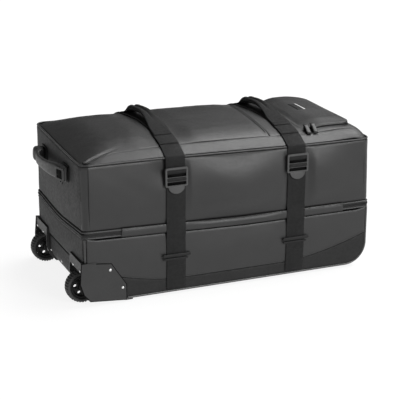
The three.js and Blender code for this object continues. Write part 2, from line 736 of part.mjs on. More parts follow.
// Grab handle on the wheel end: a padded grip on two sewn patches, with a short hanging tab
const endOut = (y, z) => {
  const low = bandTop(-HALF, y);
  return halfLong(z) + bulge(y / (DEEP - cornerAt(z)), (z - low) / (wallTop(-HALF, y) - low));
};
const PATCH = { wide: 56, high: 44, thick: 2 };
const patchLift = 0.8;
const PATCHES = [
  { name: "back", y: 101 },
  { name: "front", y: -92 },
];
for (const { name, y } of PATCHES) {
  const face = (s, v, depth) => {
    const z = GRIP_Z + (v - 0.5) * PATCH.high;
    return vec(-(endOut(s, z) + patchLift + PATCH.thick - depth), s, z);
  };
  const across = spread(y - PATCH.wide / 2, y + PATCH.wide / 2, 3);
  add("end_handle_patch_" + name, panel(across, [0, 0.5, 1], face, PATCH.thick), WEBBING);
}
const patchOut = patchLift + PATCH.thick + GAP;
const GRIP_ROWS = [
  { y: 125, stand: 10, thick: 16, high: 26 },
  { y: 120, stand: 14, thick: 25, high: 32 },
  { y: 93, stand: 15, thick: 27, high: 33 },
  { y: 84, stand: 23, thick: 16, high: 32 },
  { y: 75, stand: 27, thick: 12, high: 31 },
  { y: 60, stand: 28, thick: 12, high: 30 },
  { y: 10, stand: 28, thick: 12, high: 30 },
  { y: -38, stand: 25, thick: 10, high: 31 },
  { y: -60, stand: 17, thick: 6, high: 33 },
  { y: -76, stand: 6, thick: 3.5, high: 34 },
  { y: -90, stand: 1.5, thick: 3, high: 34 },
  { y: -114, stand: 1.5, thick: 3, high: 34 },
];
const gripCentres = GRIP_ROWS.map(({ y, stand }) => {
  const out = endOut(y, GRIP_Z) + patchOut + stand;
  return vec(-out, y, GRIP_Z);
});
const GRIP_SECTION = [
  { out: -1, up: -0.8 },
  { out: -0.6, up: -1 },
  { out: 0.6, up: -1 },
  { out: 1, up: -0.8 },
  { out: 1, up: 0.8 },
  { out: 0.6, up: 1 },
  { out: -0.6, up: 1 },
  { out: -1, up: 0.8 },
];
const gripRings = GRIP_ROWS.map(({ y, thick, high }, i) => {
  const before = gripCentres[Math.max(0, i - 1)];
  const after = gripCentres[Math.min(GRIP_ROWS.length - 1, i + 1)];
  const way = after.clone().sub(before).normalize();
  const out = vec(way.y, -way.x, 0);
  const at = (o, z) => {
    const up = (z * high) / 2;
    const lean = endOut(y, GRIP_Z) - endOut(y, GRIP_Z + up);
    return gripCentres[i].clone().addScaledVector(out, (o * thick) / 2).add(vec(lean, 0, up));
  };
  return GRIP_SECTION.map(({ out: o, up }) => at(o, up));
});
add("end_handle", loft(gripRings), WEBBING);
const TAB = { y: -52, wide: 22, low: 268, high: 292, thick: 2.4 };
add(
  "end_handle_tab",
  panel(
    [TAB.y - TAB.wide / 2, TAB.y + TAB.wide / 2],
    [0, 1],
    (y, v, depth) => {
      const z = lerp(TAB.low, TAB.high, v);
      return vec(-(endOut(y, z) + patchLift + TAB.thick - depth), y, z);
    },
    TAB.thick,
  ),
  WEBBING,
);

// Wheel housings, axles and wheels
const TYRE_PROFILE = [
  { r: WHEEL.rim, y: -0.8 },
  { r: 37, y: -1 },
  { r: 40.5, y: -0.85 },
  { r: WHEEL.radius, y: -0.5 },
  { r: WHEEL.radius, y: 0.5 },
  { r: 40.5, y: 0.85 },
  { r: 37, y: 1 },
  { r: WHEEL.rim, y: 0.8 },
  { r: WHEEL.rim, y: -0.8 },
];
const HUB_PROFILE = [
  { r: BORE, y: -13 },
  { r: 10, y: -13 },
  { r: 10, y: -5 },
  { r: 26, y: -4 },
  { r: 26, y: -9.5 },
  { r: 30.7, y: -9.5 },
  { r: 30.7, y: 9.5 },
  { r: 26, y: 9.5 },
  { r: 26, y: 4 },
  { r: 10, y: 5 },
  { r: 10, y: 13 },
  { r: BORE, y: 13 },
  { r: BORE, y: -13 },
];
const SPOKE_GAPS = { count: 5, radius: 18, hole: 5.6, turn: 0.5 };
const TYRE_FACETS = 32;
const HUB_FACETS = 20;
function tyre() {
  const profile = TYRE_PROFILE.map(({ r, y }) => new THREE.Vector2(r, y * WHEEL.half));
  return geometryOf(solid(new THREE.LatheGeometry(profile, TYRE_FACETS)));
}
function hub() {
  const profile = HUB_PROFILE.map(({ r, y }) => new THREE.Vector2(r, y));
  const gaps = range(SPOKE_GAPS.count - 1).map((_, i) => {
    const turn = (i / SPOKE_GAPS.count) * 2 * Math.PI + SPOKE_GAPS.turn;
    const hole = new THREE.CylinderGeometry(SPOKE_GAPS.hole, SPOKE_GAPS.hole, 2 * WHEEL.half, 10);
    return hole.translate(SPOKE_GAPS.radius * Math.cos(turn), 0, SPOKE_GAPS.radius * Math.sin(turn));
  });
  return cut(geometryOf(solid(new THREE.LatheGeometry(profile, HUB_FACETS))), ...gaps);
}
for (const [name, sign] of [["front", -1], ["back", 1]]) {
  const plateIn = PLATE_OUT - PLATE_THICK;
  const plate = solid(extrudeY(plateShape(0), ...between(sign, plateIn, PLATE_OUT)));
  const cup = solid(extrudeY(cupShape(0), ...between(sign, CUP_INNER, PLATE_OUT - GAP)));
  const well = solid(extrudeY(wellShape(), ...between(sign, CUP_INNER + CUP_BACK, plateIn)));
  add("wheel_housing_" + name, geometryOf(plate.add(cup).subtract(well)), PLASTIC);
  const axleEnds = [CUP_INNER + CUP_BACK + GAP, plateIn - GAP];
  const axle = new THREE.CylinderGeometry(AXLE, AXLE, axleEnds[1] - axleEnds[0], 16);
  axle.translate(WHEEL.x, (sign * (axleEnds[0] + axleEnds[1])) / 2, WHEEL.z);
  add("axle_" + name, axle, STEEL);
  add("tyre_" + name, tyre().translate(WHEEL.x, sign * WHEEL.y, WHEEL.z), RUBBER);
  add("hub_" + name, hub().translate(WHEEL.x, sign * WHEEL.y, WHEEL.z), HUB);
}

// The origin is at the middle of the bag's footprint, on the floor
const box = new THREE.Box3().setFromObject(bag);
const middle = box.getCenter(vec(0, 0, 0));
for (const mesh of bag.children) mesh.position.set(-middle.x, -middle.y, -box.min.z);

export default bag;
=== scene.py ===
"""Looks of a wheeled tennis bag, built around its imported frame.

Shapes are worked out in millimetres in the bag's own frame (+X to the far end, -Y the front, +Z up)
and are put in place, in metres, when a mesh is made.
"""
import math

import bmesh
import bpy
import numpy as np
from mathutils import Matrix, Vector
from mathutils.geometry import tessellate_polygon


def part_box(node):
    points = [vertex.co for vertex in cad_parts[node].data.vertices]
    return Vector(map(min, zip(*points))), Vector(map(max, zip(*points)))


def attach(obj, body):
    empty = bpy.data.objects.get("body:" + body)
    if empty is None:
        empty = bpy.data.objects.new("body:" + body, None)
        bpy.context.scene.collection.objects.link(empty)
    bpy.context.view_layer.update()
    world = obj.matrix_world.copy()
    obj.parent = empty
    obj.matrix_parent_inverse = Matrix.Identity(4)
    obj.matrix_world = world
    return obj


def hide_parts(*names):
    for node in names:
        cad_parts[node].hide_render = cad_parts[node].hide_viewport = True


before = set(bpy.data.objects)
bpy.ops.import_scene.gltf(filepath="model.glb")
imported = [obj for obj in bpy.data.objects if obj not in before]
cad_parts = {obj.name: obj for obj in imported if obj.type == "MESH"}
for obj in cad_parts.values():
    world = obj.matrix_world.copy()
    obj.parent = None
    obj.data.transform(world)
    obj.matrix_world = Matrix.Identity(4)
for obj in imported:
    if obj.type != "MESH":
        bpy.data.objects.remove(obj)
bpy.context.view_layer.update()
MM = 0.001
BASE_LOW, BASE_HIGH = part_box("base_panel")
SHIFT = np.array([(BASE_LOW.x + BASE_HIGH.x) / 2, (BASE_LOW.y + BASE_HIGH.y) / 2, BASE_LOW.z]) / MM

# Driving sizes of the body
LENGTH = 800.0
DEPTH = 414.0
HALF = LENGTH / 2
DEEP = DEPTH / 2
SEAM_HEIGHT = 357.0
SEAM_SAG = 8.0
SAG_START = -300.0
SAG_RUN = 580.0
BACK_RISE = 13.0
BACK_CORNER_RISE = 5.0
CORNER_RISE_X = -150.0
CORNER_RISE_Y = -60.0
CORNER_RISE_RUN = (250.0, 260.0)
TOP_FLARE_LONG = 2.0
TOP_TAPER_DEEP = 1.0
CORNER_LOW = 14.0
CORNER_HIGH = 26.0
CORNER_BLEND = 50.0
BASE_CORNER = 62.0
BASE_TOP = 91.0
BASE_DIP = 36.0
BASE_FLAT = 150.0
BASE_CURVE = 1.6
BAND_TOP = 180.0
BAND_LIFT = 12.0
BAND_REACH = 430.0
BAND_END_RATE = 2.4
BAND_BACK_RISE = 10.0
BAND_HEIGHT = 20.0
BAND_PROUD = 1.5
CROWN = 24.0
CROWN_REACH = 75.0
END_FULL = 44.0
FULL_FROM = 250.0
EASE_REACH = 45.0
EASE_FROM = 150.0
CROWN_RUN = 150.0
DOME = 14.0
BULGE = 5.0
LOWER_BULGE = 3.5
END_BULGE = 0.6
WALL = 2.5
BASE_WALL = 3.0
GAP = 0.35
PIPE = 3.2
TOP_PIPE = 2.4
PIPE_INSET = 3.7
EDGE_INSET = 7.4
GUSSET_HALF = DEEP - EDGE_INSET

# Straps and flap
WEB = 52.0
WEB_THICK = 2.2
WEB_LIFT = 0.6
WEB_FACE = WEB_LIFT + WEB_THICK
TOP_LIFT = 0.4
EDGE_LIFT = 0.6
STRAP_X = {"1": -158.0, "2": 179.0}
STRAP_LEAN = 13.0
LEAN_EDGE = 150.0
LEAN_RUN = 120.0
FLAP_FROM = -303.0
FLAP_TO = 321.0
FLAP_THICK = 1.6
FLAP_OVERLAP = 2.0
FLAP_CROWN = 2.0
FLAP_BOW = (3.2, 0.8)
FLAP_SEAM_ROWS = (2, 17)

# Wheels
WHEEL_X = -395.0
WHEEL_Y = 162.0
WHEEL_Z = 37.0
PLATE_FACE = 210.0
PLATE_RIM = [(-407, 110), (-331, 101), (-293, 42), (-293, 1), (-386, 10), (-402, 29), (-411, 58)]
CUP_EDGE = 105.0 - GAP
CUP_TOP = 110.0
CUP_REACH = WHEEL_X + 48.0

# Cloth detail
STEP = 6.0
HEM_REACH = 6.5
HEM_DEPTH = 1.8
EDGE_STEPS = np.array([0.0, 0.25, 0.7, 1.4, 2.5, 4.2, HEM_REACH, 7.5, 8.5, 10.0])
BLOCK_TOP = 0.72
CREASE_HEIGHT = 0.24
CREASE_WAVE = 42.0
WAVE_COUNT = 11
# Height and length of the waves in each kind of panel
WALL_WAVES = (0.8, 150.0)
LOWER_WAVES = (0.6, 140.0)
END_WAVES = (0.7, 110.0)
TOP_WAVES = (1.1, 170.0)
LID_WAVES = (0.5, 70.0)
MIDDLE = np.array([0.0, 0.0, 200.0])
FACES = {"front": -1, "back": 1}


# Small helpers
def clamp01(t):
    return np.clip(t, 0.0, 1.0)


def smooth(t):
    t = clamp01(t)
    return t * t * (3 - 2 * t)


def arch(t):
    """An arch of height 1 over the run from 0 to 1."""
    return np.sin(np.pi * clamp01(t))


def hump(offset, width):
    """A smooth bump of height 1 at offset 0."""
    return np.exp(-((offset / width) ** 2))


def lerp(a, b, t):
    return a + (b - a) * t


def unit(ways):
    return ways / np.linalg.norm(ways, axis=-1, keepdims=True)


def xyz(*parts):
    """Points from coordinates whose shapes fit together."""
    return np.stack(np.broadcast_arrays(*parts), -1)


def circle(count):
    return np.arange(count) / count * 2 * np.pi


def lengths(path):
    """The distance along a path to each of its points."""
    return np.concatenate([[0], np.cumsum(np.linalg.norm(np.diff(path, axis=0), axis=-1))])


def sample(at, length, values):
    """Rows of values read off at distances along a path."""
    return np.stack([np.interp(at, length, column) for column in np.transpose(values)], -1)


def dense(length, step):
    """Shares from 0 to 1 along a length, closer together near both ends where cloth turns in."""
    edge = EDGE_STEPS[-1]
    count = max(2, int(round((length - 2 * edge) / step)))
    middle = np.linspace(edge, length - edge, count + 1)[1:-1]
    return np.concatenate([EDGE_STEPS, middle, length - EDGE_STEPS[::-1]]) / length


def spline(table, count):
    """A smooth run through the rows of a table, evenly stepped along their chords."""
    table = np.asarray(table, float)
    chords = lengths(table[:, :2])
    at = np.linspace(0, chords[-1], count)
    slopes = np.gradient(table, chords, axis=0)
    k = np.clip(np.searchsorted(chords, at, "right") - 1, 0, len(chords) - 2)
    span = (chords[k + 1] - chords[k])[:, None]
    t = (at - chords[k])[:, None] / span
    eased = t * t * (3 - 2 * t)
    leave = t * (1 - t) ** 2 * slopes[k] * span
    arrive = t * t * (1 - t) * slopes[k + 1] * span
    return lerp(table[k], table[k + 1], eased) + leave - arrive


# Form of the body: heights of its seams and how far its walls stand out
def seam_z(x, y):
    run_x, run_y = CORNER_RISE_RUN
    corner = smooth((CORNER_RISE_X - x) / run_x) * smooth((y - CORNER_RISE_Y) / run_y)
    sag = SEAM_SAG * smooth((x - SAG_START) / SAG_RUN)
    return SEAM_HEIGHT - sag + BACK_RISE * (y + DEEP) / DEPTH + BACK_CORNER_RISE * corner


def band_top(x, y):
    away = np.hypot(x + HALF, BAND_END_RATE * (y + DEEP))
    return BAND_TOP + BAND_LIFT * clamp01(1 - away / BAND_REACH) + BAND_BACK_RISE * smooth(y / DEEP)


def band_low(x, y):
    return band_top(x, y) - BAND_HEIGHT


def taper(z):
    return clamp01((z - BAND_TOP) / (SEAM_HEIGHT - BAND_TOP))


def half_long(z):
    return HALF + TOP_FLARE_LONG * taper(z)


def half_deep(z):
    return DEEP - TOP_TAPER_DEEP * taper(z)


def corner_at(z):
    return lerp(CORNER_LOW, CORNER_HIGH, taper(z))


def bulge(side, high):
    across = np.cos(np.clip(side, -1, 1) * np.pi / 2)
    return BULGE * arch(high) * np.maximum(across, 0) ** 0.6


def base_edge(x):
    share = clamp01((np.abs(x) - BASE_FLAT) / (HALF - BASE_FLAT))
    return lerp(BASE_DIP, BASE_TOP, share**BASE_CURVE)


def outline_low(x):
    past = np.maximum(0, np.abs(x) - (HALF - BASE_CORNER))
    return BASE_CORNER - np.sqrt(np.maximum(0, (BASE_CORNER - EDGE_INSET) ** 2 - past**2))


def lower_swell(x, z):
    high = (z - BASE_DIP) / (BAND_TOP - BAND_HEIGHT - BASE_DIP)
    return np.maximum(0, LOWER_BULGE * arch(high) * np.cos(x / HALF * np.pi / 2))


def wall_top(x, y):
    return seam_z(x, y) - TOP_PIPE - GAP


def wall_bulge(x, y, z, side):
    """How far an upper wall stands out at a height, over one of its edges at x and y."""
    low = band_top(x, y)
    return bulge(side, (z - low) / (wall_top(x, y) - low))


def end_out(y, z):
    """How far the wheel end stands out from the bag's middle."""
    return half_long(z) + wall_bulge(-HALF, y, z, y / (DEEP - corner_at(z)))


def inside_top(x, y):
    """How far a point of the top is inside its edge, eased where two edges meet."""
    dx = half_long(SEAM_HEIGHT) - np.abs(x)
    dy = half_deep(SEAM_HEIGHT) - np.abs(y)
    mix = clamp01(0.5 + (dy - dx) / (2 * CORNER_BLEND))
    nearest = lerp(dy, dx, mix) - CORNER_BLEND * mix * (1 - mix)
    cx = CORNER_HIGH - dx
    cy = CORNER_HIGH - dy
    arc = CORNER_HIGH - np.hypot(cx, cy)
    return np.where((cx > 0) & (cy > 0), np.minimum(arc, nearest), nearest)


def top_z(x, y):
    full = END_FULL * smooth((x - FULL_FROM) / CROWN_RUN)
    ease = EASE_REACH * smooth((-x - EASE_FROM) / CROWN_RUN)
    edge = 1 - clamp01(inside_top(x, y) / (CROWN_REACH - full + ease))
    dome = np.cos(x / HALF * np.pi / 2) * np.cos(y / DEEP * np.pi / 2)
    return seam_z(x, y) + CROWN * (1 - edge**2) + DOME * np.maximum(0, dome)


def lean_at(y):
    return STRAP_LEAN * smooth((LEAN_EDGE - np.abs(y)) / LEAN_RUN)


def strap_free(x, y, reach=60.0):
    """0 under a strap and 1 well clear of both, so that cloth swells only where no strap holds it."""
    free = 1.0
    for strap in STRAP_X.values():
        free = free * smooth((np.abs(x - strap - lean_at(y)) - WEB / 2 - 2) / reach)
    return free


def between_straps(x):
    return (x > STRAP_X["1"]) & (x < STRAP_X["2"])


def ripples(points, height, wave, seed):
    """Soft unevenness of cloth: a few plane waves of mixed length and direction."""
    draw = np.random.default_rng(seed)
    total = np.zeros(points.shape[:-1])
    for _ in range(WAVE_COUNT):
        way = unit(draw.normal(size=3))
        length = wave * draw.uniform(0.6, 1.7)
        total += np.sin(points @ way * 2 * np.pi / length + draw.uniform(0, 2 * np.pi))
    return height * total / math.sqrt(WAVE_COUNT)


def cloth_waves(points, height, wave, seed):
    """Long soft waves of a sewn panel with shallow creases on them."""
    return ripples(points, height, wave, seed) + ripples(points, CREASE_HEIGHT, CREASE_WAVE, seed + 200)


# Mesh making
def new_object(name, data):
    made = bpy.data.objects.new(name, data)
    bpy.context.scene.collection.objects.link(made)
    return made


def make_object(name, points, faces, loop_uvs=None, face_slots=None):
    mesh = bpy.data.meshes.new(name)
    placed = (np.asarray(points, float).reshape(-1, 3) + SHIFT) * MM
    mesh.from_pydata(placed.tolist(), [], [list(map(int, face)) for face in faces])
    if loop_uvs is not None:
        layer = mesh.uv_layers.new(name="cloth")
        layer.data.foreach_set("uv", (np.asarray(loop_uvs, np.float32) * MM).ravel())
    if face_slots is not None:
        mesh.polygons.foreach_set("material_index", np.asarray(face_slots, np.int32))
    mesh.polygons.foreach_set("use_smooth", np.ones(len(mesh.polygons), bool))
    mesh.update()
    return new_object(name, mesh)


def dress(piece, materials, nodes=(), body="bag"):
    """Gives a piece its finish and its body, and hides the CAD nodes that it stands for."""
    for material in materials if isinstance(materials, list) else [materials]:
        piece.data.materials.append(material)
    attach(piece, body)
    if nodes:
        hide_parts(*nodes)
    return piece


def run(points, axis):
    """Arc length along one axis of a grid of points."""
    step = np.linalg.norm(np.diff(points, axis=axis), axis=-1)
    start = np.zeros_like(np.take(step, [0], axis))
    return np.concatenate([start, np.cumsum(step, axis)], axis)


def grid_normals(points):
    """Normals of a grid that point away from the bag's middle, and whether its own order does so."""
    normals = np.cross(np.gradient(points, axis=0), np.gradient(points, axis=1))
    normals /= np.maximum(np.linalg.norm(normals, axis=-1, keepdims=True), 1e-9)
    outward = np.sum(normals * (points - MIDDLE)) > 0
    return (normals if outward else -normals), outward


def turn_in(distance, depth):
    t = clamp01(1 - distance / HEM_REACH)
    return depth * (1 - np.sqrt(1 - t * t))


def panel(name, points, wall, relief=0.0, hems=(1, 1, 1, 1), keep=None, face_slot=None):
    """A cloth wall through a grid of points, its edges turned in towards their seams.

    hems are shares of the turn-in at the first and last column and the first and last row.
    """
    normals, outward = grid_normals(points)
    across = run(points, 0)
    up = run(points, 1)
    edges = (across, across[-1:] - across, up, up[:, -1:] - up)
    drop = np.max([turn_in(distance, HEM_DEPTH * share) for share, distance in zip(hems, edges)], 0)
    shaped = points + normals * (relief - drop)[..., None]
    columns, rows = points.shape[:2]
    first = np.arange(columns - 1)[:, None] * rows + np.arange(rows - 1)
    quads = np.stack([first, first + rows, first + rows + 1, first + 1], -1).reshape(-1, 4)
    if not outward:
        quads = quads[:, ::-1]
    middles = shaped.reshape(-1, 3)[quads].mean(1)
    if keep is not None:
        quads = quads[keep(middles)]
    places = np.stack([across, up], -1).reshape(-1, 2)
    face_slots = None if face_slot is None else face_slot(middles)
    made = make_object(name, shaped, quads, places[quads].reshape(-1, 2), face_slots)
    shell = made.modifiers.new("wall", "SOLIDIFY")
    shell.thickness = wall * MM
    shell.offset = -1
    return made


def declare_sheet(piece):
    """Reads a sewn panel's flat places from its UV map into an array; nothing is declared, kept or changed.
    """
    mesh = piece.data
    places = np.empty(len(mesh.loops) * 2, np.float32)
    mesh.uv_layers[0].data.foreach_get("uv", places)


def loft(name, rings, closed=False):
    """A closed skin through rings of points; open runs get end faces."""
    rings = np.asarray(rings, float)
    count, size = rings.shape[:2]
    spans = np.arange(count if closed else count - 1)[:, None]
    here = np.arange(size)[None, :]
    far = (spans + 1) % count * size
    beside = (here + 1) % size
    corners = [spans * size + here, far + here, far + beside, spans * size + beside]
    quads = np.stack(corners, -1).reshape(-1, 4)
    length = lengths(rings.mean(1))
    length = np.append(length, length[-1] * (1 + 1 / (count - 1)))
    girth = lengths(np.concatenate([rings[0], rings[0, :1]]))
    us = length[np.stack([spans, spans + 1, spans + 1, spans], -1)]
    vs = girth[np.stack([here, here, here + 1, here + 1], -1)]
    uvs = xyz(us, vs).reshape(-1, 4, 2)
    points = rings.reshape(-1, 3)
    a, b, c = points[quads[:, :3]].transpose(1, 0, 2)
    order = -1 if np.sum((a - points.mean(0)) * np.cross(b - a, c - a)) < 0 else 1
    faces = quads[:, ::order].tolist()
    uvs = uvs[:, ::order].reshape(-1, 2)
    if not closed:
        ring = np.arange(size)
        faces += [ring[::order], (ring[::-1] + (count - 1) * size)[::order]]
        uvs = np.concatenate([uvs, np.zeros((2 * size, 2))])
    return make_object(name, points, faces, uvs)


def lay_flat(piece):
    """Lays a piece's weave out as seen from above."""
    mesh = piece.data
    corners = np.empty(len(mesh.loops), np.int32)
    mesh.loops.foreach_get("vertex_index", corners)
    places = np.empty(len(mesh.vertices) * 3, np.float32)
    mesh.vertices.foreach_get("co", places)
    flat = places.reshape(-1, 3)[corners, :2]
    mesh.uv_layers[0].data.foreach_set("uv", np.ascontiguousarray(flat).ravel())


def tube(name, path, radius, closed=False, sides=10):
    """A round cord along a path."""
    ways = np.roll(path, -1, 0) - np.roll(path, 1, 0) if closed else np.gradient(path, axis=0)
    ways = unit(ways)
    side = unit(np.cross(ways, path - MIDDLE))[:, None]
    up = np.cross(side, ways[:, None])
    turn = circle(sides)[:, None]
    return loft(name, path[:, None] + radius * (side * np.cos(turn) + up * np.sin(turn)), closed)


def strip_rings(path, normals, wides, thicks):
    """Rings of a flat band with round edges; normals point to its outer face, from its inner one."""
    ends = np.linspace(-np.pi / 2, np.pi / 2, 7)
    turn = np.concatenate([ends, ends + np.pi])
    sign = np.repeat([1.0, -1.0], len(ends))
    reach = sign * (wides - thicks) / 2 + np.cos(turn) * thicks / 2
    stand = (np.sin(turn) + 1) * thicks / 2
    sideways = xyz(reach, 0, 0)
    return path[:, None] + sideways + np.broadcast_to(normals, path.shape)[:, None] * stand[:, None]


def cells(path, normals, pitch, size, lift=0.0, aside=0.0, weave=0.0):
    """Small blocks in a row along a path, such as stitches or zip teeth.

    size is along, across and high; weave moves every other block to the other side of the path.
    """
    length = lengths(path)
    count = max(1, int(length[-1] / pitch))
    at = (np.arange(count) + 0.5) * pitch
    up = unit(sample(at, length, np.broadcast_to(normals, path.shape)))
    way = unit(sample(at, length, np.gradient(path, axis=0)))
    side = np.cross(up, way)
    offset = aside + weave * np.where(np.arange(count) % 2, 1, -1)
    centre = sample(at, length, path) + side * offset[:, None] + up * lift
    corners = np.array([[i, j, k] for i in (-1, 1) for j in (-1, 1) for k in (-1, 1)]) * np.asarray(size) / 2
    corners[corners[:, 2] > 0, :2] *= BLOCK_TOP
    return centre[:, None] + corners @ np.stack([way, side, up], 1)


BLOCK_FACES = np.array([[0, 1, 3, 2], [4, 6, 7, 5], [0, 4, 5, 1], [2, 3, 7, 6], [0, 2, 6, 4], [1, 5, 7, 3]])


def block_object(name, groups):
    blocks = np.concatenate(groups)
    faces = (np.arange(len(blocks))[:, None, None] * 8 + BLOCK_FACES).reshape(-1, 4)
    made = make_object(name, blocks.reshape(-1, 3), faces)
    made.data.polygons.foreach_set("use_smooth", np.zeros(len(made.data.polygons), bool))
    return made


def plate(name, rim, holes, place, near, far, bevel=0.0, segments=3):
    """A flat plate with holes from an outline; place turns (a, b, depth) into a point."""
    loops = [np.asarray(loop, float) for loop in [rim, *holes]]
    flat = np.concatenate(loops)
    count = len(flat)
    triangles = tessellate_polygon([[Vector((a, b, 0)) for a, b in loop] for loop in loops])
    points = [place(a, b, depth) for depth in (near, far) for a, b in flat]
    faces = [tuple(t) for t in triangles] + [tuple(i + count for i in t[::-1]) for t in triangles]
    start = 0
    for loop in loops:
        ring = start + np.arange(len(loop))
        faces += [(a, b, b + count, a + count) for a, b in zip(ring, np.roll(ring, -1))]
        start += len(loop)
    made = make_object(name, points, faces)
    work = bmesh.new()
    work.from_mesh(made.data)
    bmesh.ops.dissolve_limit(work, angle_limit=0.01, verts=work.verts, edges=work.edges)
    bmesh.ops.recalc_face_normals(work, faces=work.faces)
    work.to_mesh(made.data)
    work.free()
    if bevel:
        soften(made, bevel, segments)
    return made


def soften(piece, width, segments=3, angle=35):
    """Rounds a hard piece's edges, as a mould does."""
    bevel = piece.modifiers.new("round", "BEVEL")
    bevel.width = width * MM
    bevel.segments = segments
    bevel.limit_method = "ANGLE"
    bevel.angle_limit = math.radians(angle)
    bevel.harden_normals = True


def lathe(name, profile, centre, steps=64, tread=None):
    """A ring turned about an axis along Y, from a closed profile of radius and offset."""
    turn = circle(steps)[:, None]
    radius, offset = np.transpose(profile)
    if tread is not None:
        radius = tread(turn, radius, offset)
    x, y, z = centre
    return loft(name, xyz(x + radius * np.cos(turn), y + offset, z + radius * np.sin(turn)), True)


def join(name, pieces):
    """Joins pieces, with their modifiers applied, into one object."""
    depsgraph = bpy.context.evaluated_depsgraph_get()
    points = []
    faces = []
    for piece in pieces:
        mesh = piece.evaluated_get(depsgraph).to_mesh()
        base = len(points)
        points += [tuple(v.co) for v in mesh.vertices]
        faces += [[base + i for i in face.vertices] for face in mesh.polygons]
    made_mesh = bpy.data.meshes.new(name)
    made_mesh.from_pydata(points, [], faces)
    made_mesh.polygons.foreach_set("use_smooth", np.ones(len(faces), bool))
    for piece in pieces:
        bpy.data.objects.remove(piece)
    return new_object(name, made_mesh)


def rounded_rim(x0, y0, x1, y1, near, step=4.0, back=None):
    """Points round a rectangle with round corners, counter-clockwise from its right side."""
    quarter = np.linspace(0, np.pi / 2, 9)
    back = back or near
    corners = [(x1 - back, y1 - back, back), (x0 + back, y1 - back, back)]
    corners += [(x0 + near, y0 + near, near), (x1 - near, y0 + near, near)]
    turns = [quarter + k * np.pi / 2 for k in range(4)]
    arcs = [xyz(x + r * np.cos(turn), y + r * np.sin(turn)) for turn, (x, y, r) in zip(turns, corners)]
    rim = np.concatenate([*arcs, arcs[0][:1]])
    length = lengths(rim)
    count = int(length[-1] / step)
    return sample(np.arange(count) / count * length[-1], length, rim)


def box_rim(x0, z0, x1, z1, r):
    return rounded_rim(x0, z0, x1, z1, r, 2.0)


def ring_rim(radius, count, cx, cz, start=0.0):
    turn = start + circle(count)
    return xyz(cx + radius * np.cos(turn), cz + radius * np.sin(turn))


def on_face(y, way):
    """A place for plates: outlines in X and Z on a face at y, with depths along Y."""
    return lambda a, b, depth: (a, y + way * depth, b)


# Finishes
def finish(name, level, rough, specular, weave=None, grain=None, mottle=0.1, metallic=0.0):
    """A procedural grey finish: mottled colour, a woven or grained surface and uneven roughness.

    weave is (pitch along, pitch across, height) and grain is (size, height), in millimetres.
    """
    made = bpy.data.materials.new(name)
    made.use_nodes = True
    tree = made.node_tree
    place = tree.nodes.new("ShaderNodeTexCoord").outputs

    def feed(node, inputs):
        for key, value in inputs.items():
            if isinstance(value, bpy.types.NodeSocket):
                tree.links.new(value, node.inputs[key])
            else:
                node.inputs[key].default_value = value

    def noise(scale, detail):
        node = tree.nodes.new("ShaderNodeTexNoise")
        feed(node, {"Vector": place["Object"], "Scale": scale, "Detail": detail})
        return node.outputs["Fac"]

    def ramp(source, low, high):
        node = tree.nodes.new("ShaderNodeMapRange")
        feed(node, {"Value": source, "From Min": 0.3, "From Max": 0.7, "To Min": low, "To Max": high})
        return node.outputs["Result"]

    def wave(pitch, way):
        node = tree.nodes.new("ShaderNodeTexWave")
        node.bands_direction = way
        scale = 2 * math.pi / (20 * pitch * MM)
        feed(node, {"Vector": place["UV"], "Scale": scale, "Distortion": 0.4, "Detail": 1.0})
        return node.outputs["Fac"]

    tint = tree.nodes.new("ShaderNodeMix")
    tint.data_type = "RGBA"
    dark, light = ([level * share] * 3 + [1] for share in (1 - mottle, 1 + mottle))
    feed(tint, {"A": dark, "B": light, "Factor": ramp(noise(26.0, 3.0), 0.0, 1.0)})
    bump = tree.nodes.new("ShaderNodeBump")
    if weave:
        along, over, height = weave
        cross = tree.nodes.new("ShaderNodeMath")
        cross.operation = "MAXIMUM"
        feed(cross, {0: wave(along, "X"), 1: wave(over, "Y")})
        pattern = cross.outputs["Value"]
    else:
        size, height = grain
        pattern = noise(1 / (size * MM), 2.0)
    feed(bump, {"Strength": 1.0, "Distance": height * MM, "Height": pattern})
    shader = tree.nodes["Principled BSDF"]
    feed(shader, {"Base Color": tint.outputs["Result"], "Normal": bump.outputs["Normal"]})
    feed(shader, {"Roughness": ramp(noise(160.0, 3.0), rough * 0.86, rough * 1.14)})
    feed(shader, {"Specular IOR Level": specular, "Metallic": metallic})
    return made


SHELL = finish("coated_cloth", 0.012, 0.42, 0.5, weave=(1.1, 1.1, 0.05), mottle=0.08)
GUSSET = finish("gusset_cloth", 0.021, 0.68, 0.4, weave=(1.2, 1.2, 0.02), mottle=0.08)
BASE = finish("base_cloth", 0.011, 0.6, 0.28, weave=(1.6, 1.6, 0.12))
TRIM = finish("piping_vinyl", 0.030, 0.5, 0.5, grain=(0.9, 0.03))
TAPE = finish("zip_tape", 0.012, 0.6, 0.3, weave=(0.8, 1.0, 0.08))
FLAP = finish("flap_vinyl", 0.015, 0.44, 0.46, grain=(1.0, 0.03))
WEBBING = finish("webbing", 0.011, 0.68, 0.2, weave=(1.3, 2.4, 0.22), mottle=0.14)
CLIP = finish("buckle_plastic", 0.045, 0.32, 0.5, grain=(1.5, 0.02))
HOUSING = finish("housing_plastic", 0.019, 0.5, 0.42, grain=(0.8, 0.06))
RUBBER = finish("tyre_rubber", 0.030, 0.6, 0.4, grain=(0.7, 0.06))
HUB = finish("hub_plastic", 0.008, 0.5, 0.25, grain=(1.2, 0.03))
STEEL = finish("steel", 0.62, 0.28, 0.5, grain=(0.8, 0.01), mottle=0.05, metallic=1.0)
THREAD = finish("thread", 0.030, 0.7, 0.2, grain=(0.5, 0.02))
TEETH = finish("zip_teeth", 0.016, 0.35, 0.45, grain=(0.6, 0.01))
# Painted shade: a black, matt finish put in slots, wells, gaps and hollows where only shade is seen
PAINTED_SHADE = finish("painted_shade_black", 0.004, 0.9, 0.1, grain=(0.8, 0.03))
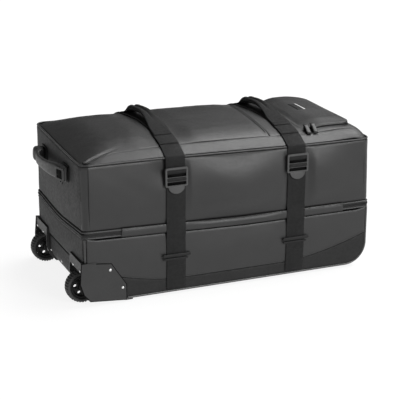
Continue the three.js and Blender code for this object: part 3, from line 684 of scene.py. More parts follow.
PALE = finish("pale_stripe", 0.55, 0.5, 0.3, grain=(0.6, 0.01))
PULL_FACE = finish("pull_rubber", 0.075, 0.5, 0.4, grain=(0.7, 0.03))

# Stitches and zip teeth gathered from every piece
STITCHES = []
TEETH_ROWS = []
STITCH_PITCH = 4.2
STITCH_SIZE = (3.0, 0.7, 0.6)
TOOTH_PITCH = 1.5
BAND_TOOTH = (1.0, 3.4, 1.2)
POCKET_TOOTH = (1.0, 1.8, 0.8)


def stitch(path, normals, lift, aside=0.0):
    STITCHES.append(cells(path, normals, STITCH_PITCH, STITCH_SIZE, lift, aside))


# Walls of the upper compartment
# Each side: whether it is one of the long walls, and the sign of its outward direction
SIDES = {"front": (True, -1), "back": (True, 1), "wheel_end": (False, -1), "far_end": (False, 1)}
HALF_CORNER = np.linspace(0, np.pi / 4, 9)[1:]
CORNER_SEAM = 383.0
WRAP = 41.0


def placed(side, along, out, z):
    """Points at places along one side and at distances out from the bag's middle."""
    long, sign = side
    return xyz(along, sign * out, z) if long else xyz(sign * out, along, z)


def stations(length, arc):
    """Shares along a straight side, and steps round the corners at both its ends."""
    straight = np.linspace(-1, 1, int(length / STEP) + 1)
    ends = np.ones(len(arc))
    share = np.concatenate([-ends, straight, ends])
    turn = np.concatenate([-arc[::-1], 0 * straight, arc])
    return share[:, None], turn[:, None]


def side_points(side, share, angle, z, proud):
    """Points along one side of the rounded plan, from mid-corner to mid-corner."""
    r = corner_at(z)
    reaches = (half_long(z) - r, half_deep(z) - r)
    reach, out = reaches if side[0] else reaches[::-1]
    r = r + proud
    return placed(side, share * reach + np.sin(angle) * r, out + np.cos(angle) * r, z)


def around(z_at, proud):
    """Points once round the bag's plan, from the middle of its back, with a height and stand-out per row."""
    parts = []
    for name, order in (("front", 1), ("far_end", 1), ("back", -1), ("wheel_end", -1)):
        side = SIDES[name]
        share, angle = stations(LENGTH if side[0] else DEPTH, HALF_CORNER)
        flat = side_points(side, share, angle, BAND_TOP, 0.0)
        points = side_points(side, share, angle, z_at(flat[..., 0], flat[..., 1]), proud)
        parts.append(points[::order][:-1])
    points = np.concatenate(parts)
    behind = np.where(points[:, 0, 1] > 0, np.abs(points[:, 0, 0]), LENGTH)
    points = np.roll(points, -int(np.argmin(behind)), 0)
    return np.concatenate([points, points[:1]])


def wall_stations(long):
    """Shares along a wall's straight part and round its corners, out to the seams beside the corners."""
    if long:
        return (2 * dense(2 * CORNER_SEAM, STEP) - 1)[:, None], 0.0
    whole = dense(2 * WRAP, STEP)
    return stations(DEPTH, (2 * whole - 1)[whole > 0.5])


def wall_points(side, share, corner, z, proud):
    """Points of an upper wall; an end wall wraps round both corners as far as the seams."""
    if side[0]:
        return placed(side, share * CORNER_SEAM, half_deep(z) + proud, z)
    r = corner_at(z)
    reach = half_long(z) - r
    most = np.arccos(np.clip((CORNER_SEAM - reach) / r, 0, 1))
    way = np.abs(corner) * (r * most + np.maximum(0, reach - CORNER_SEAM))
    angle = np.minimum(way / r, most)
    along = share * (half_deep(z) - r) + np.sign(corner) * np.sin(angle) * (r + proud)
    return placed(side, along, reach + np.cos(angle) * (r + proud) - (way - r * angle), z)


WALL_HIGH = 166.0
PUFF = {"middle": 16.0, "left": 2.0, "right": 9.0}
PUFF_REACHES = (12.0, 130.0, 30.0)
PUFF_SOFT = 0.7
PUFF_FADE = 240.0
PUFF_FADE_RUN = 140.0
ROLL_FROM = 0.5
ROLL_POWER = 2.4
# The dent that the first strap pulls into the wall beside it, below the top seam
DENT_DEEP = 8.0
DENT_X = STRAP_X["1"] - 22.0
DENT_WIDE = 36.0
CORNER_TURN = 14.0


def wall_puff(x):
    """How far the long walls swell, fuller between the straps than beside them."""
    sharp, soft, beside = (strap_free(x, DEEP, reach) for reach in PUFF_REACHES)
    shape = lerp(sharp, soft, PUFF_SOFT)
    right = PUFF["right"] * beside * (1 - smooth((x - PUFF_FADE) / PUFF_FADE_RUN))
    outer = np.where(x < STRAP_X["1"], PUFF["left"] * shape, right)
    return np.where(between_straps(x), PUFF["middle"] * shape, outer)


def corner_slot(middles):
    """The shell's cloth where an end wall turns a corner, and the gusset's elsewhere."""
    return np.abs(middles[:, 1]) > DEEP - CORNER_TURN


def build_upper_walls():
    rows = dense(WALL_HIGH, STEP)
    roll = smooth(rows / 0.35) * (1 - clamp01((rows - ROLL_FROM) / (1 - ROLL_FROM)) ** ROLL_POWER)
    for seed, (name, side) in enumerate(SIDES.items()):
        long = side[0]
        share, corner = wall_stations(long)
        x, y, _ = np.moveaxis(wall_points(side, share, corner, BAND_TOP, 0.0), -1, 0)
        z = lerp(band_top(x, y) + GAP, wall_top(x, y), rows)
        points = wall_points(side, share, corner, z, bulge(share, rows))
        relief = cloth_waves(points, *WALL_WAVES, 10 + seed) * arch(rows) ** 0.8
        if long:
            relief = relief * strap_free(x, DEEP) + wall_puff(x) * roll
        if name == "front":
            relief -= DENT_DEEP * hump(x - DENT_X, DENT_WIDE) * smooth((rows - 0.5) / 0.4)
        slot = None if long else corner_slot
        piece = panel(f"upper_{name}_cloth", points, WALL, relief, (0.15, 0.15, 1, 0.8), None, slot)
        dress(piece, SHELL if long else [GUSSET, SHELL], [f"upper_{name}_panel"])
        declare_sheet(piece)


# Zip band round the middle, and the flap over its front
BAND_ROWS = 29
WELT_HIGH = 1.5
WELT_MIDDLE = 2.4
COIL_HIGH = 0.7
TUCK_DEEP = 1.6
WELT_WIDE = 4.6
SHADE_DEEP = 8.2
SHADE_END = 3.0


def band_slot(middles):
    """A welt along both edges, tape between them, and painted shade on the tape's upper rows at the bag's
    two ends.
    """
    x, y, z = middles.T
    below = band_top(x, y) - z
    welted = np.minimum(below, BAND_HEIGHT - below) < WELT_WIDE
    shaded = (below < SHADE_DEEP) & (np.abs(x) > HALF - SHADE_END)
    return np.where(welted, 0, np.where(shaded, 2, 1))


def build_zip_band():
    rows = np.linspace(0, 1, BAND_ROWS)
    edge = np.minimum(rows, 1 - rows) * BAND_HEIGHT
    welt = WELT_HIGH * hump(edge - WELT_MIDDLE, 1.7)
    coil = COIL_HIGH * hump((rows - 0.5) * BAND_HEIGHT, 1.8)
    tuck = TUCK_DEEP * hump(edge, 1.0)
    proud = BAND_PROUD + welt + coil - tuck
    points = around(lambda x, y: lerp(band_low(x, y), band_top(x, y), rows), proud)
    piece = panel("zip_band_tape", points, WALL, 0.0, (0, 0, 0, 0), None, band_slot)
    # The third finish is painted shade on the tape's upper rows at both ends
    dress(piece, [TRIM, TAPE, PAINTED_SHADE], [f"zip_band_{name}" for name in SIDES])
    middle = BAND_ROWS // 2
    line = points[:, middle]
    ups = grid_normals(points)[0][:, middle]
    covered = (line[:, 1] < 1 - DEEP) & (line[:, 0] > FLAP_FROM) & (line[:, 0] < FLAP_TO)
    for part in np.split(np.arange(len(line)), np.where(np.diff(covered))[0] + 1):
        if not covered[part[0]]:
            TEETH_ROWS.append(cells(line[part], ups[part], TOOTH_PITCH, BAND_TOOTH, 0.4, weave=0.9))


def build_flap():
    xs = lerp(FLAP_FROM, FLAP_TO, dense(FLAP_TO - FLAP_FROM, 8.0))[:, None]
    rows = np.linspace(0, 1, 21)
    z = lerp(band_low(xs, -DEEP) - FLAP_OVERLAP, band_top(xs, -DEEP) + FLAP_OVERLAP, rows)
    out = DEEP + BAND_PROUD + GAP + FLAP_THICK + FLAP_CROWN * arch(rows) ** 0.7
    points = xyz(xs, -out, z)
    bow = np.where(between_straps(xs), *FLAP_BOW) * strap_free(xs, DEEP) * arch(rows)
    piece = panel("front_zip_flap_cloth", points, FLAP_THICK, bow, (1, 1, 0.5, 0.5))
    dress(piece, FLAP, ["front_zip_flap"])
    declare_sheet(piece)
    for row in FLAP_SEAM_ROWS:
        stitch(points[:, row], (0, -1, 0), lift=0.5)


# Lower compartment and base
LOWER_PUFF = 1.2
BASE_EASE = 0.4
ROW_STEP = 5.0
PLATE_HIDE = 4.0
PLATE_CLEAR = -3.0
STITCH_RISE = 5.0
SHADOW_GAP = 4.15
SHADOW_RUN = 30.0
CORD_GAP = 2.6
PIPE_FROM = -291.0
# Painted shade: how far in from the front the top cord takes the darker shell cloth
CORD_SHADE_REACH = 8.0


def inside_plate(points, inset):
    """True well inside the housing's outer plate, where a panel is out of sight."""
    x, _, z = points.T
    inside = np.ones(len(points), bool)
    for (ax, az), (bx, bz) in zip(PLATE_RIM, PLATE_RIM[1:] + PLATE_RIM[:1]):
        inside &= ((bx - ax) * (z - az) - (bz - az) * (x - ax)) / math.hypot(bx - ax, bz - az) < -inset
    return inside


def build_lower_faces():
    reach = HALF - EDGE_INSET
    xs = (reach * (2 * dense(2 * reach, STEP) - 1))[:, None]
    calm = strap_free(xs, DEEP) * arch((xs / reach + 1) / 2) ** 0.4
    seen = lambda middles: ~inside_plate(middles, PLATE_HIDE)
    for name, sign in FACES.items():
        shadow = (SHADOW_GAP if sign < 0 else 0.0) * smooth((reach - np.abs(xs)) / SHADOW_RUN)
        edge = band_low(xs, sign * DEEP) - GAP - shadow
        parts = [
            (f"lower_{name}", base_edge(xs) + GAP, edge, 120.0, 1.0, SHELL, "shell_cloth"),
            (f"{name}_base", outline_low(xs), base_edge(xs), 40.0, BASE_EASE, BASE, "base_cloth"),
        ]
        for part, low, high, height, ease, material, slot in parts:
            rows = dense(height, ROW_STEP)
            z = lerp(low, high, rows)
            points = xyz(xs, sign * (DEEP + lower_swell(xs, z)), z)
            relief = (LOWER_PUFF + cloth_waves(points, *LOWER_WAVES, 31 + sign)) * calm * arch(rows) ** 0.8
            piece = panel(f"{part}_cloth", points, WALL, relief * ease, keep=seen)
            dress(piece, material, [f"{part}_panel"])
            declare_sheet(piece)
            if material is SHELL:
                line = points[:, 0]
                line = line[~inside_plate(line, PLATE_CLEAR)] + (0, 0, STITCH_RISE)
                stitch(line, (0, sign, 0), lift=0.4)


def base_line(inset):
    """The base's section along X, from the wheel end's upper edge round to the far end's."""
    radius = BASE_CORNER - inset
    middle = HALF - BASE_CORNER
    turn = np.linspace(0, np.pi / 2, 25)
    corner = xyz(-middle - radius * np.cos(turn), BASE_CORNER - radius * np.sin(turn))
    flat = np.linspace(-middle, middle, int(2 * middle / 4.0))[1:-1]
    end = np.concatenate([xyz(inset - HALF, np.linspace(BASE_TOP, BASE_CORNER, 9)[:-1]), corner])
    return np.concatenate([end, xyz(flat, inset), end[::-1] * (-1, 1)])


def across_cups(half, step, count):
    """Depths across the base or an end, evenly stepped between the housings and closer beside them."""
    beside = half - CUP_EDGE
    outer = CUP_EDGE + beside * dense(beside, step)[1:]
    return np.concatenate([-outer[::-1], np.linspace(-CUP_EDGE, CUP_EDGE, count), outer])


def build_base():
    line = base_line(0.0)
    points = xyz(line[:, :1], across_cups(GUSSET_HALF, 8.0, 22), line[:, 1:])
    clear = lambda m: (np.abs(m[:, 1]) <= CUP_EDGE) | (m[:, 0] >= CUP_REACH)
    piece = panel("base_floor_cloth", points, BASE_WALL, 0.0, (0.5, 0.5, 0.6, 0.6), clear)
    dress(piece, BASE, ["base_panel"])
    declare_sheet(piece)


def build_lower_ends():
    split = CUP_TOP + GAP
    lows = np.linspace(BASE_TOP + GAP, split, 8)[:-1]
    clear = lambda m: (np.abs(m[:, 1]) <= CUP_EDGE) | (m[:, 2] >= split)
    for name, sign, cord_gap, keep in (("wheel_end", -1, CORD_GAP, clear), ("far_end", 1, 0.0, None)):
        ys = across_cups(GUSSET_HALF - cord_gap, STEP, 30)[:, None]
        high = band_low(sign * HALF, ys) - GAP
        z = np.concatenate([lows + 0 * ys, lerp(split, high, dense(60.0, ROW_STEP))], 1)
        share = (z - BASE_TOP) / (high - BASE_TOP)
        points = xyz(sign * (HALF + END_BULGE * bulge(ys / DEEP, share)), ys, z)
        calm = arch(share) * arch((ys / GUSSET_HALF + 1) / 2) ** 0.5
        relief = ripples(points, *END_WAVES, 51 + sign) * calm
        piece = panel(f"lower_{name}_cloth", points, WALL, relief, keep=keep)
        dress(piece, GUSSET, [f"lower_{name}_panel"])
        declare_sheet(piece)


def build_piping():
    line = base_line(PIPE_INSET)
    line = line[line[:, 0] > PIPE_FROM]
    far = HALF - PIPE_INSET
    for name, sign in FACES.items():
        y = sign * (DEEP - PIPE_INSET)
        zs = np.linspace(CUP_TOP + 2 * GAP, band_low(-far, y) - GAP, 20)
        cord = tube(f"{name}_corner_cord", xyz(-far, y, zs), PIPE)
        dress(cord, TRIM, [f"{name}_corner_piping"])
        ups = np.linspace(BASE_TOP, band_low(far, y) - GAP, 16)[1:]
        edge = np.concatenate([xyz(line[:, 0], y, line[:, 1]), xyz(far, y, ups)])
        # The edge cord takes the lighter, glossier buckle plastic; its lighter colour is a painted highlight
        # along the piping
        dress(tube(f"{name}_edge_cord", edge, PIPE), CLIP, [f"{name}_edge_piping"])
    loop = around(lambda x, y: SEAM_HEIGHT, -TOP_PIPE)[:-1, 0]
    loop[:, 2] = seam_z(loop[:, 0], loop[:, 1])
    cord = dress(tube("top_cord", loop, TOP_PIPE, True), [TRIM, SHELL], ["top_piping"])
    # Painted shade: faces of the cord's front run take the darker shell cloth in the second slot
    dark = [int(face.center.y / MM - SHIFT[1] < CORD_SHADE_REACH - DEEP) for face in cord.data.polygons]
    cord.data.polygons.foreach_set("material_index", dark)


# Crowned top
FRONT_SEAM = -168.0
CROSS_SEAM = [(121, FRONT_SEAM), (120.5, -140), (122, -95), (127, -20), (138, 85), (155, DEEP + 10)]
CROSS_FIT = np.polyfit([y for _, y in CROSS_SEAM], [x for x, _ in CROSS_SEAM], 4)
SEAM_BEND = [(-395, -191), (-383, -190), (-368, -183), (-340, -175), (-300, FRONT_SEAM), (HALF, FRONT_SEAM)]
SEAM_CUT = 0.2
TOP_INSET = 2 * TOP_PIPE + GAP
TOP_HALF_X = HALF + TOP_FLARE_LONG - TOP_INSET
TOP_HALF_Y = DEEP - TOP_TAPER_DEEP - TOP_INSET
TOP_ROUND = CORNER_HIGH - TOP_INSET
TOP_PUFF = 5.0
TOP_HEMS = {
    "top_front_strip": (0.8, 0.8, 0.3, 0.4),
    "top_main": (0.8, 1.0, 0.4, 0.8),
    "top_far": (1.0, 0.8, 0.4, 0.8),
}
# The groove beside the cross seam, and the front and back ends of it
SECOND_SEAM = 7.5
SECOND_DEEP = 2.6
SECOND_FRONT = -156.0
SECOND_BACK = 130.0
PINCH_FROM = np.array([-379.0, -182.0])
PINCH_TO = np.array([-285.0, -150.0])
# Height, place and width of the crease's ridge and of its fold
PINCH_FOLDS = [(1.5, 6.0, 4.5), (1.8, -0.5, 3.5)]


def top_end(y):
    """Half length of the top at a depth, inside its rounded corners."""
    past = np.maximum(0, np.abs(y) - (TOP_HALF_Y - TOP_ROUND))
    return TOP_HALF_X - TOP_ROUND + np.sqrt(np.maximum(0, TOP_ROUND**2 - past**2))


def cross_x(y):
    return np.polyval(CROSS_FIT, y)


def pinch(points):
    """The crease that pulls in from the corner over the wheel end."""
    way = unit(PINCH_TO - PINCH_FROM)
    off = points[..., :2] - PINCH_FROM
    along = off @ way / np.linalg.norm(PINCH_TO - PINCH_FROM)
    aside = off @ np.array([-way[1], way[0]])
    fade = smooth((along + 0.15) / 0.25) * smooth((1.15 - along) / 0.8)
    ridge, fold = (high * hump(aside - place, width) for high, place, width in PINCH_FOLDS)
    return fade * (ridge - fold)


def top_relief(points, seed):
    x, y, _ = np.moveaxis(points, -1, 0)
    inset = inside_top(x, y) - TOP_INSET
    swell = cloth_waves(points, *TOP_WAVES, seed) * smooth(inset / 60) + TOP_PUFF * smooth(inset / 100)
    groove = hump(cross_x(y) - SECOND_SEAM - x, 1.2)
    groove = groove * smooth((SECOND_BACK - y) / 60) * smooth((y - SECOND_FRONT) / 6)
    return swell * strap_free(x, y) + pinch(points) - SECOND_DEEP * groove


def build_top():
    start = lambda y: -top_end(y)
    behind = (FRONT_SEAM + SEAM_CUT, TOP_HALF_Y)
    parts = {
        "top_front_strip": (-TOP_HALF_Y, FRONT_SEAM - SEAM_CUT, start, top_end, LENGTH),
        "top_main": (*behind, start, lambda y: cross_x(y) - SEAM_CUT, 520.0),
        "top_far": (*behind, lambda y: cross_x(y) + SEAM_CUT, top_end, 250.0),
    }
    for seed, (name, (front, back, left, right, length)) in enumerate(parts.items()):
        strip = name == "top_front_strip"
        rows = dense(back - front, STEP)
        ys = lerp(front, back, rows)
        xs = lerp(left(ys), right(ys), dense(length, STEP)[:, None])
        bend = np.interp(xs, *np.transpose(SEAM_BEND)) - FRONT_SEAM
        ys = ys + bend * (rows if strip else 1 - rows)
        points = xyz(xs, ys, top_z(xs, ys))
        piece = panel(f"{name}_cloth", points, WALL, top_relief(points, 70 + seed), TOP_HEMS[name])
        dress(piece, SHELL, [name if strip else f"{name}_panel"])
        declare_sheet(piece)


# Lining sheets behind the seams, black as painted shade in the gaps between panels
LINING_INSET = 10.0
LINING_LOW = 14.0
LINING_END_LOW = 66.0
LINING_END_FROM = 280.0
LINING_DROP = 16.0
LINING_THICK = 0.4
# Rows at the top seam: inside the plan's edge, above the seam
LINING_SHOULDER = [(10.0, -9.0), (9.5, -3.6), (10.0, 1.4), (14.0, 4.0)]
TOP_LINING_DROP = 5.0
TOP_LINING_INSET = 9.0
# The lining is cut away over the wheel housings, from these places on
HOUSED_X = -325.0
HOUSED_Y = 88.0
HOUSED_RUN = 6.0
HOUSED_LOW = CUP_TOP + 3.0


def lining_low(x, y):
    """The lining's lower edge, above the base's round ends and the wheel housings."""
    low = lerp(LINING_LOW, LINING_END_LOW, smooth((np.abs(x) - LINING_END_FROM) / 40))
    housed = smooth((HOUSED_X - x) / HOUSED_RUN) * smooth((np.abs(y) - HOUSED_Y) / HOUSED_RUN)
    return lerp(low, HOUSED_LOW, housed)


def build_lining():
    shares = np.linspace(0, 1, 9)
    insets, rises = np.transpose(LINING_SHOULDER)

    def heights(x, y):
        seam = seam_z(x, y)
        return np.concatenate([lerp(lining_low(x, y), seam - LINING_DROP, shares), seam + rises], 1)

    proud = -np.concatenate([np.full(len(shares), LINING_INSET), insets])
    # Painted shade: the wall and top lining sheets are black so that the gaps at the seams read as shade
    walls = panel("wall_shade_lining", around(heights, proud), LINING_THICK, hems=(0, 0, 0, 0))
    declare_sheet(dress(walls, PAINTED_SHADE))
    ys = np.linspace(-1, 1, 50) * (TOP_HALF_Y - TOP_LINING_INSET)
    xs = np.linspace(-1, 1, 100)[:, None] * (top_end(ys) - TOP_LINING_INSET)
    points = xyz(xs, ys, top_z(xs, ys) - TOP_LINING_DROP)
    cover = panel("top_shade_lining", points, LINING_THICK, hems=(0, 0, 0, 0))
    declare_sheet(dress(cover, PAINTED_SHADE))


# Pocket on the top: left, front, right and back of it and of its label
POCKET_BOX = (220.0, -154.0, 372.0, 158.0)
POCKET_LEFT, POCKET_FRONT = POCKET_BOX[:2]
POCKET_ROUND = 26.0
POCKET_BACK_ROUND = 62.0
POCKET_RISE = 11.0
POCKET_LEAN = 0.45
POCKET_EDGE = 3.2
POCKET_FLAT = 0.06
POCKET_RUN = 70.0
LID_PUFF = 2.6
ZIP_SINK = 1.1
ZIP_START = 20.0
ZIP_HIGH = 5.2
POCKET_HEIGHTS = [1.2, 2.6, 3.6, 4.4, ZIP_HIGH, 6.0, 6.8, POCKET_RISE - POCKET_EDGE]
LABEL_BOX = (277.0, -18.0, 303.0, 43.0)
LABEL_EDGE = 2.0
STRIPE = 6.0


def pocket_high(x):
    """How far the pocket's lid stands above the top; its side next to the strap lies almost flat."""
    return POCKET_RISE * lerp(POCKET_FLAT, 1.0, smooth((x - POCKET_LEFT) / POCKET_RUN))


def build_pocket():
    rim = rounded_rim(*POCKET_BOX, POCKET_ROUND, back=POCKET_BACK_ROUND)
    centre = rim.mean(0)
    outward = unit(rim - centre)

    def ring(inset, high):
        x, y = (rim - outward * inset).T
        return xyz(x, y, top_z(x, y) + np.maximum(3 * GAP, high / POCKET_RISE * pocket_high(x)))

    rows = []
    for high in POCKET_HEIGHTS:
        rows.append(ring(POCKET_LEAN * high + ZIP_SINK * hump(high - ZIP_HIGH, 0.9), high))
    shoulder = POCKET_HEIGHTS[-1]
    for turn in np.linspace(0, np.pi / 2, 7)[1:]:
        inset = POCKET_LEAN * shoulder + POCKET_EDGE * (1 - math.cos(turn))
        rows.append(ring(inset, shoulder + POCKET_EDGE * math.sin(turn)))
    edge = rows[-1][:, :2]
    for t in np.linspace(0, 1, 26)[1:]:
        x, y = (centre + (edge - centre) * (1 - t * 0.995)).T
        puff = LID_PUFF * smooth(t * 3.2) + ripples(xyz(x, y, 0.0), *LID_WAVES, 91) * smooth(t * 3)
        rows.append(xyz(x, y, top_z(x, y) + pocket_high(x) + puff))
    piece = loft("top_pocket_cloth", np.array(rows))
    lay_flat(piece)
    dress(piece, [SHELL, PAINTED_SHADE], ["top_pocket"])
    middle = POCKET_HEIGHTS.index(ZIP_HIGH)
    zipped = (rim[:, 0] > POCKET_LEFT + ZIP_START) & (rim[:, 1] < centre[1])
    slots = np.zeros((len(rows) - 1, len(rim)), np.int32)
    # Painted shade: the rows along the sunken zip line at the pocket's front take the black shade finish,
    # over the zip tape's place
    slots[middle - 2 : middle + 2] = zipped
    piece.data.polygons.foreach_set("material_index", np.append(slots, [0, 0]).astype(np.int32))
    out = xyz(*outward[zipped].T, 0.0)
    TEETH_ROWS.append(cells(rows[middle][zipped], out, TOOTH_PITCH, POCKET_TOOTH, 0.1, weave=0.5))
    build_label()
    build_pulls()


def label_slot(middles):
    """A pale stripe along one side, a dark edge on the other three and cloth between."""
    left, front, right, back = LABEL_BOX
    x, y, _ = middles.T
    edged = (np.minimum(y - front, back - y) < LABEL_EDGE) | (x - left < LABEL_EDGE)
    return np.where(right - x < STRIPE, 2, np.where(edged, 1, 0))


def build_label():
    left, front, right, back = LABEL_BOX
    xs = np.linspace(left, right, 14)[:, None]
    ys = np.linspace(front, back, 31)
    points = xyz(xs, ys, top_z(xs, ys) + pocket_high(xs) + LID_PUFF + 1.0)
    piece = panel("pocket_label_patch", points, 1.0, 0.0, (0.6, 0.3, 0.3, 0.3), None, label_slot)
    dress(piece, [BASE, HUB, PALE], ["pocket_label"])


# Columns: ahead of the pocket's front, above the top, steepness
PULL_ROWS = [(-7.0, 13.6, 0.2), (0.0, 12.6, 0.6), (8.0, 8.4, 0.9), (15.0, 4.6, 0.7), (21.0, 2.6, 0.4)]
# Each pull: its place along X and its share of the height
PULLS = {"left": (233.0, 0.8), "right": (253.0, 1.0)}
PULL_FACE_ROWS = slice(3, 15)
PULL_FOOT_ROWS = slice(0, 7)
PULL_FOOT_WIDE = 8.0


def build_pull_foot(name, path, normals):
    """The zip slider that holds a pull up from the pocket."""
    x, y, _ = path.T
    top = path + normals * 0.3
    low = xyz(x, y, top_z(x, y) + 1.0)
    half = np.array([PULL_FOOT_WIDE / 2, 0.0, 0.0])
    rings = np.stack([low - half, low + half, top + half, top - half], 1)
    dress(loft(f"pocket_pull_{name}_foot", rings), HUB)


def build_pulls():
    ahead, above, steep = sample(np.linspace(0, 1, 17), np.linspace(0, 1, len(PULL_ROWS)), PULL_ROWS).T
    normals = unit(xyz(0.0, -steep, 1 - steep / 2))
    y = POCKET_FRONT - ahead
    for name, (x, share) in PULLS.items():
        path = xyz(x, y, top_z(x, y) + above * share)
        body = loft(f"pocket_pull_{name}_tab", strip_rings(path, normals, 12.5, 2.4))
        dress(body, HUB, [f"pocket_pull_{name}"])
        ups = normals[PULL_FACE_ROWS]
        face = strip_rings(path[PULL_FACE_ROWS] + ups * 2.0, ups, 9.0, 1.6)
        dress(loft(f"pocket_pull_{name}_face", face), PULL_FACE)
        build_pull_foot(name, path[PULL_FOOT_ROWS], normals[PULL_FOOT_ROWS])


# Straps, carry handles, buckles and sliders
STRAP_SPLIT = 304.0
ANCHOR_LOW = 10.0
ANCHOR_TOP = 99.0
ANCHOR_SEAMS = (0.76, 0.7)
UPRIGHT_TOP = 344.0
TOP_START = 188.0
HANDLE_BACK = 136.0
BAND_MARGIN = FLAP_OVERLAP + 3.0
BAND_RAMP = 14.0
BAND_CLEAR = 0.6
STITCH_INSET = 4.0
FOLD_FRONT = -167.0
FOLD_BACK = -121.0
FOLD_THICK = 1.5


def skin_out(x, z, sign):
    """How far the front or back skin, with its flap, stands out at a height."""
    y = sign * DEEP
    upper = half_deep(z) + wall_bulge(x, y, z, x / HALF)
    lower = DEEP + lower_swell(x, z)
    band = DEEP + BAND_PROUD + BAND_CLEAR + (GAP + FLAP_THICK if sign < 0 else 0.0)
    rise = smooth((z - (band_low(x, y) - BAND_MARGIN)) / BAND_RAMP + 1)
    fall = smooth((z - (band_top(x, y) + BAND_MARGIN)) / BAND_RAMP)
    return lerp(lerp(lower, band, rise), upper, fall)


def upright(x, low, high, sign):
    zs = np.linspace(low, high, max(3, int((high - low) / 4)))
    points = xyz(x, sign * skin_out(x, zs, sign), zs)
    return points, np.broadcast_to((0.0, sign, 0.0), points.shape)


def over_edge(x, sign):
    y = sign * (DEEP - TOP_TAPER_DEEP - PIPE)
    turn = np.linspace(0.0, 0.8, 9) * np.pi / 2
    normals = xyz(0.0, sign * np.cos(turn), np.sin(turn))
    return xyz(x, y, seam_z(x, y)) + normals * (PIPE + EDGE_LIFT), normals


def along_top(x, front, back):
    ys = np.linspace(front, back, max(3, int(abs(back - front) / 4)))
    slope = (top_z(x, ys + 1) - top_z(x, ys - 1)) / 2
    return xyz(x + lean_at(ys), ys, top_z(x, ys) + TOP_LIFT), unit(xyz(0.0, -slope, 1.0))


def chain(*parts):
    return [np.concatenate(rows) for rows in zip(*parts)]


def webbing(part, key, path, normals):
    rings = strip_rings(path + normals * WEB_LIFT, normals, WEB, WEB_THICK)
    dress(loft(f"strap_{part}_{key}_web", rings), WEBBING, [f"strap_{part}_{key}"])


def edge_stitches(path, normals):
    for side in (-1, 1):
        stitch(path + normals * WEB_FACE, normals, 0.1, side * (WEB / 2 - STITCH_INSET))


def across_stitch(path, normals, k, lift):
    """One row of stitches across a strap, at a place on its path and a height above it."""
    half = WEB / 2 - STITCH_INSET
    stitch(path[k] + normals[k] * lift + xyz(np.linspace(-half, half, 12), 0, 0), normals[k], 0.1)


# Columns: y, height of the underside, width, thickness
HANDLE_ROWS = [
    (-119, 2.5, 50, 2.6), (-86, 2.5, 50, 2.3), (-60, 2.6, 50, 2.4), (-48, 3.4, 49, 3.0),
    (-36, 5.5, 46, 3.6), (-18, 9.5, 42, 4.8), (2, 12.5, 38, 6.5), (25, 14.0, 34, 9.5),
    (55, 14.0, 32, 12.5), (85, 12.0, 32, 15.0), (104, 9.5, 32, 16.0), (113, 6.0, 33, 12.0),
    (119, 4.0, 37, 7.0), (125, 3.2, 43, 3.4), (131, 2.5, 49, 2.4), (HANDLE_BACK, 2.5, 50, 1.8),
]
HANDLE_SEAMS = (-103.0, -97.0, -73.0, -67.0)
ROLL_SQUARE = 3.2


def rolled_rings(path, normals, wides, thicks, crease):
    """Rings of webbing folded into two rolls side by side; crease is the depth share between the rolls."""
    a = np.linspace(-0.5, 0.5, 17)
    b = 0.5 * (1 - np.abs(2 * a) ** ROLL_SQUARE) ** (1 / ROLL_SQUARE)
    b = b * (1 - crease[:, None] * hump(a, 0.1))
    aside = np.concatenate([a, a[-2:0:-1]]) * wides[:, None]
    high = (0.5 + np.concatenate([b, -b[:, -2:0:-1]], 1)) * thicks[:, None]
    return path[:, None] + xyz(aside, 0, 0) + normals[:, None] * high[..., None]


def build_carry_handle(key, x):
    ys, low, wides, thicks = spline(HANDLE_ROWS, 110).T
    path = xyz(x + lean_at(ys), ys, top_z(x, ys) + TOP_LIFT + WEB_LIFT + low)
    way = np.gradient(path, axis=0)
    normals = unit(xyz(0.0, -way[:, 2], way[:, 1]))
    crease = 0.75 * smooth((thicks - 3.5) / 4)
    piece = loft(f"carry_handle_{key}_grip", rolled_rings(path, normals, wides, thicks, crease))
    dress(piece, WEBBING, [f"carry_handle_{key}"])
    for y in HANDLE_SEAMS:
        k = int(np.argmin(np.abs(ys - y)))
        across_stitch(path, normals, k, thicks[k])


def build_fold(key, x):
    """The doubled webbing ahead of a carry handle, sewn down across its front edge."""
    path, normals = along_top(x, FOLD_FRONT, FOLD_BACK)
    rings = strip_rings(path + normals * WEB_FACE, normals, WEB - 1.0, FOLD_THICK)
    dress(loft(f"strap_upper_{key}_fold", rings), WEBBING)
    across_stitch(path, normals, 1, WEB_FACE + FOLD_THICK)


def build_straps():
    for key, x in STRAP_X.items():
        anchor = upright(x, ANCHOR_LOW, ANCHOR_TOP, -1)
        webbing("anchor", key, *anchor)
        edge_stitches(*anchor)
        for share in ANCHOR_SEAMS:
            across_stitch(*anchor, int(share * (len(anchor[0]) - 1)), WEB_FACE)
        webbing("lower", key, *upright(x, ANCHOR_TOP + GAP, STRAP_SPLIT, -1))
        rise = upright(x, STRAP_SPLIT + GAP, UPRIGHT_TOP, -1)
        webbing("upper", key, *chain(rise, over_edge(x, -1), along_top(x, -TOP_START, HANDLE_BACK - 1.0)))
        build_fold(key, x)
        rise = upright(x, ANCHOR_LOW, UPRIGHT_TOP, 1)
        back = chain(rise, over_edge(x, 1), along_top(x, TOP_START, HANDLE_BACK + 1.0))
        back = [rows[::-1] for rows in back]
        webbing("back", key, *back)
        edge_stitches(*back)
        build_carry_handle(key, x)
        build_buckle(key, x)
        build_slider(key, x)


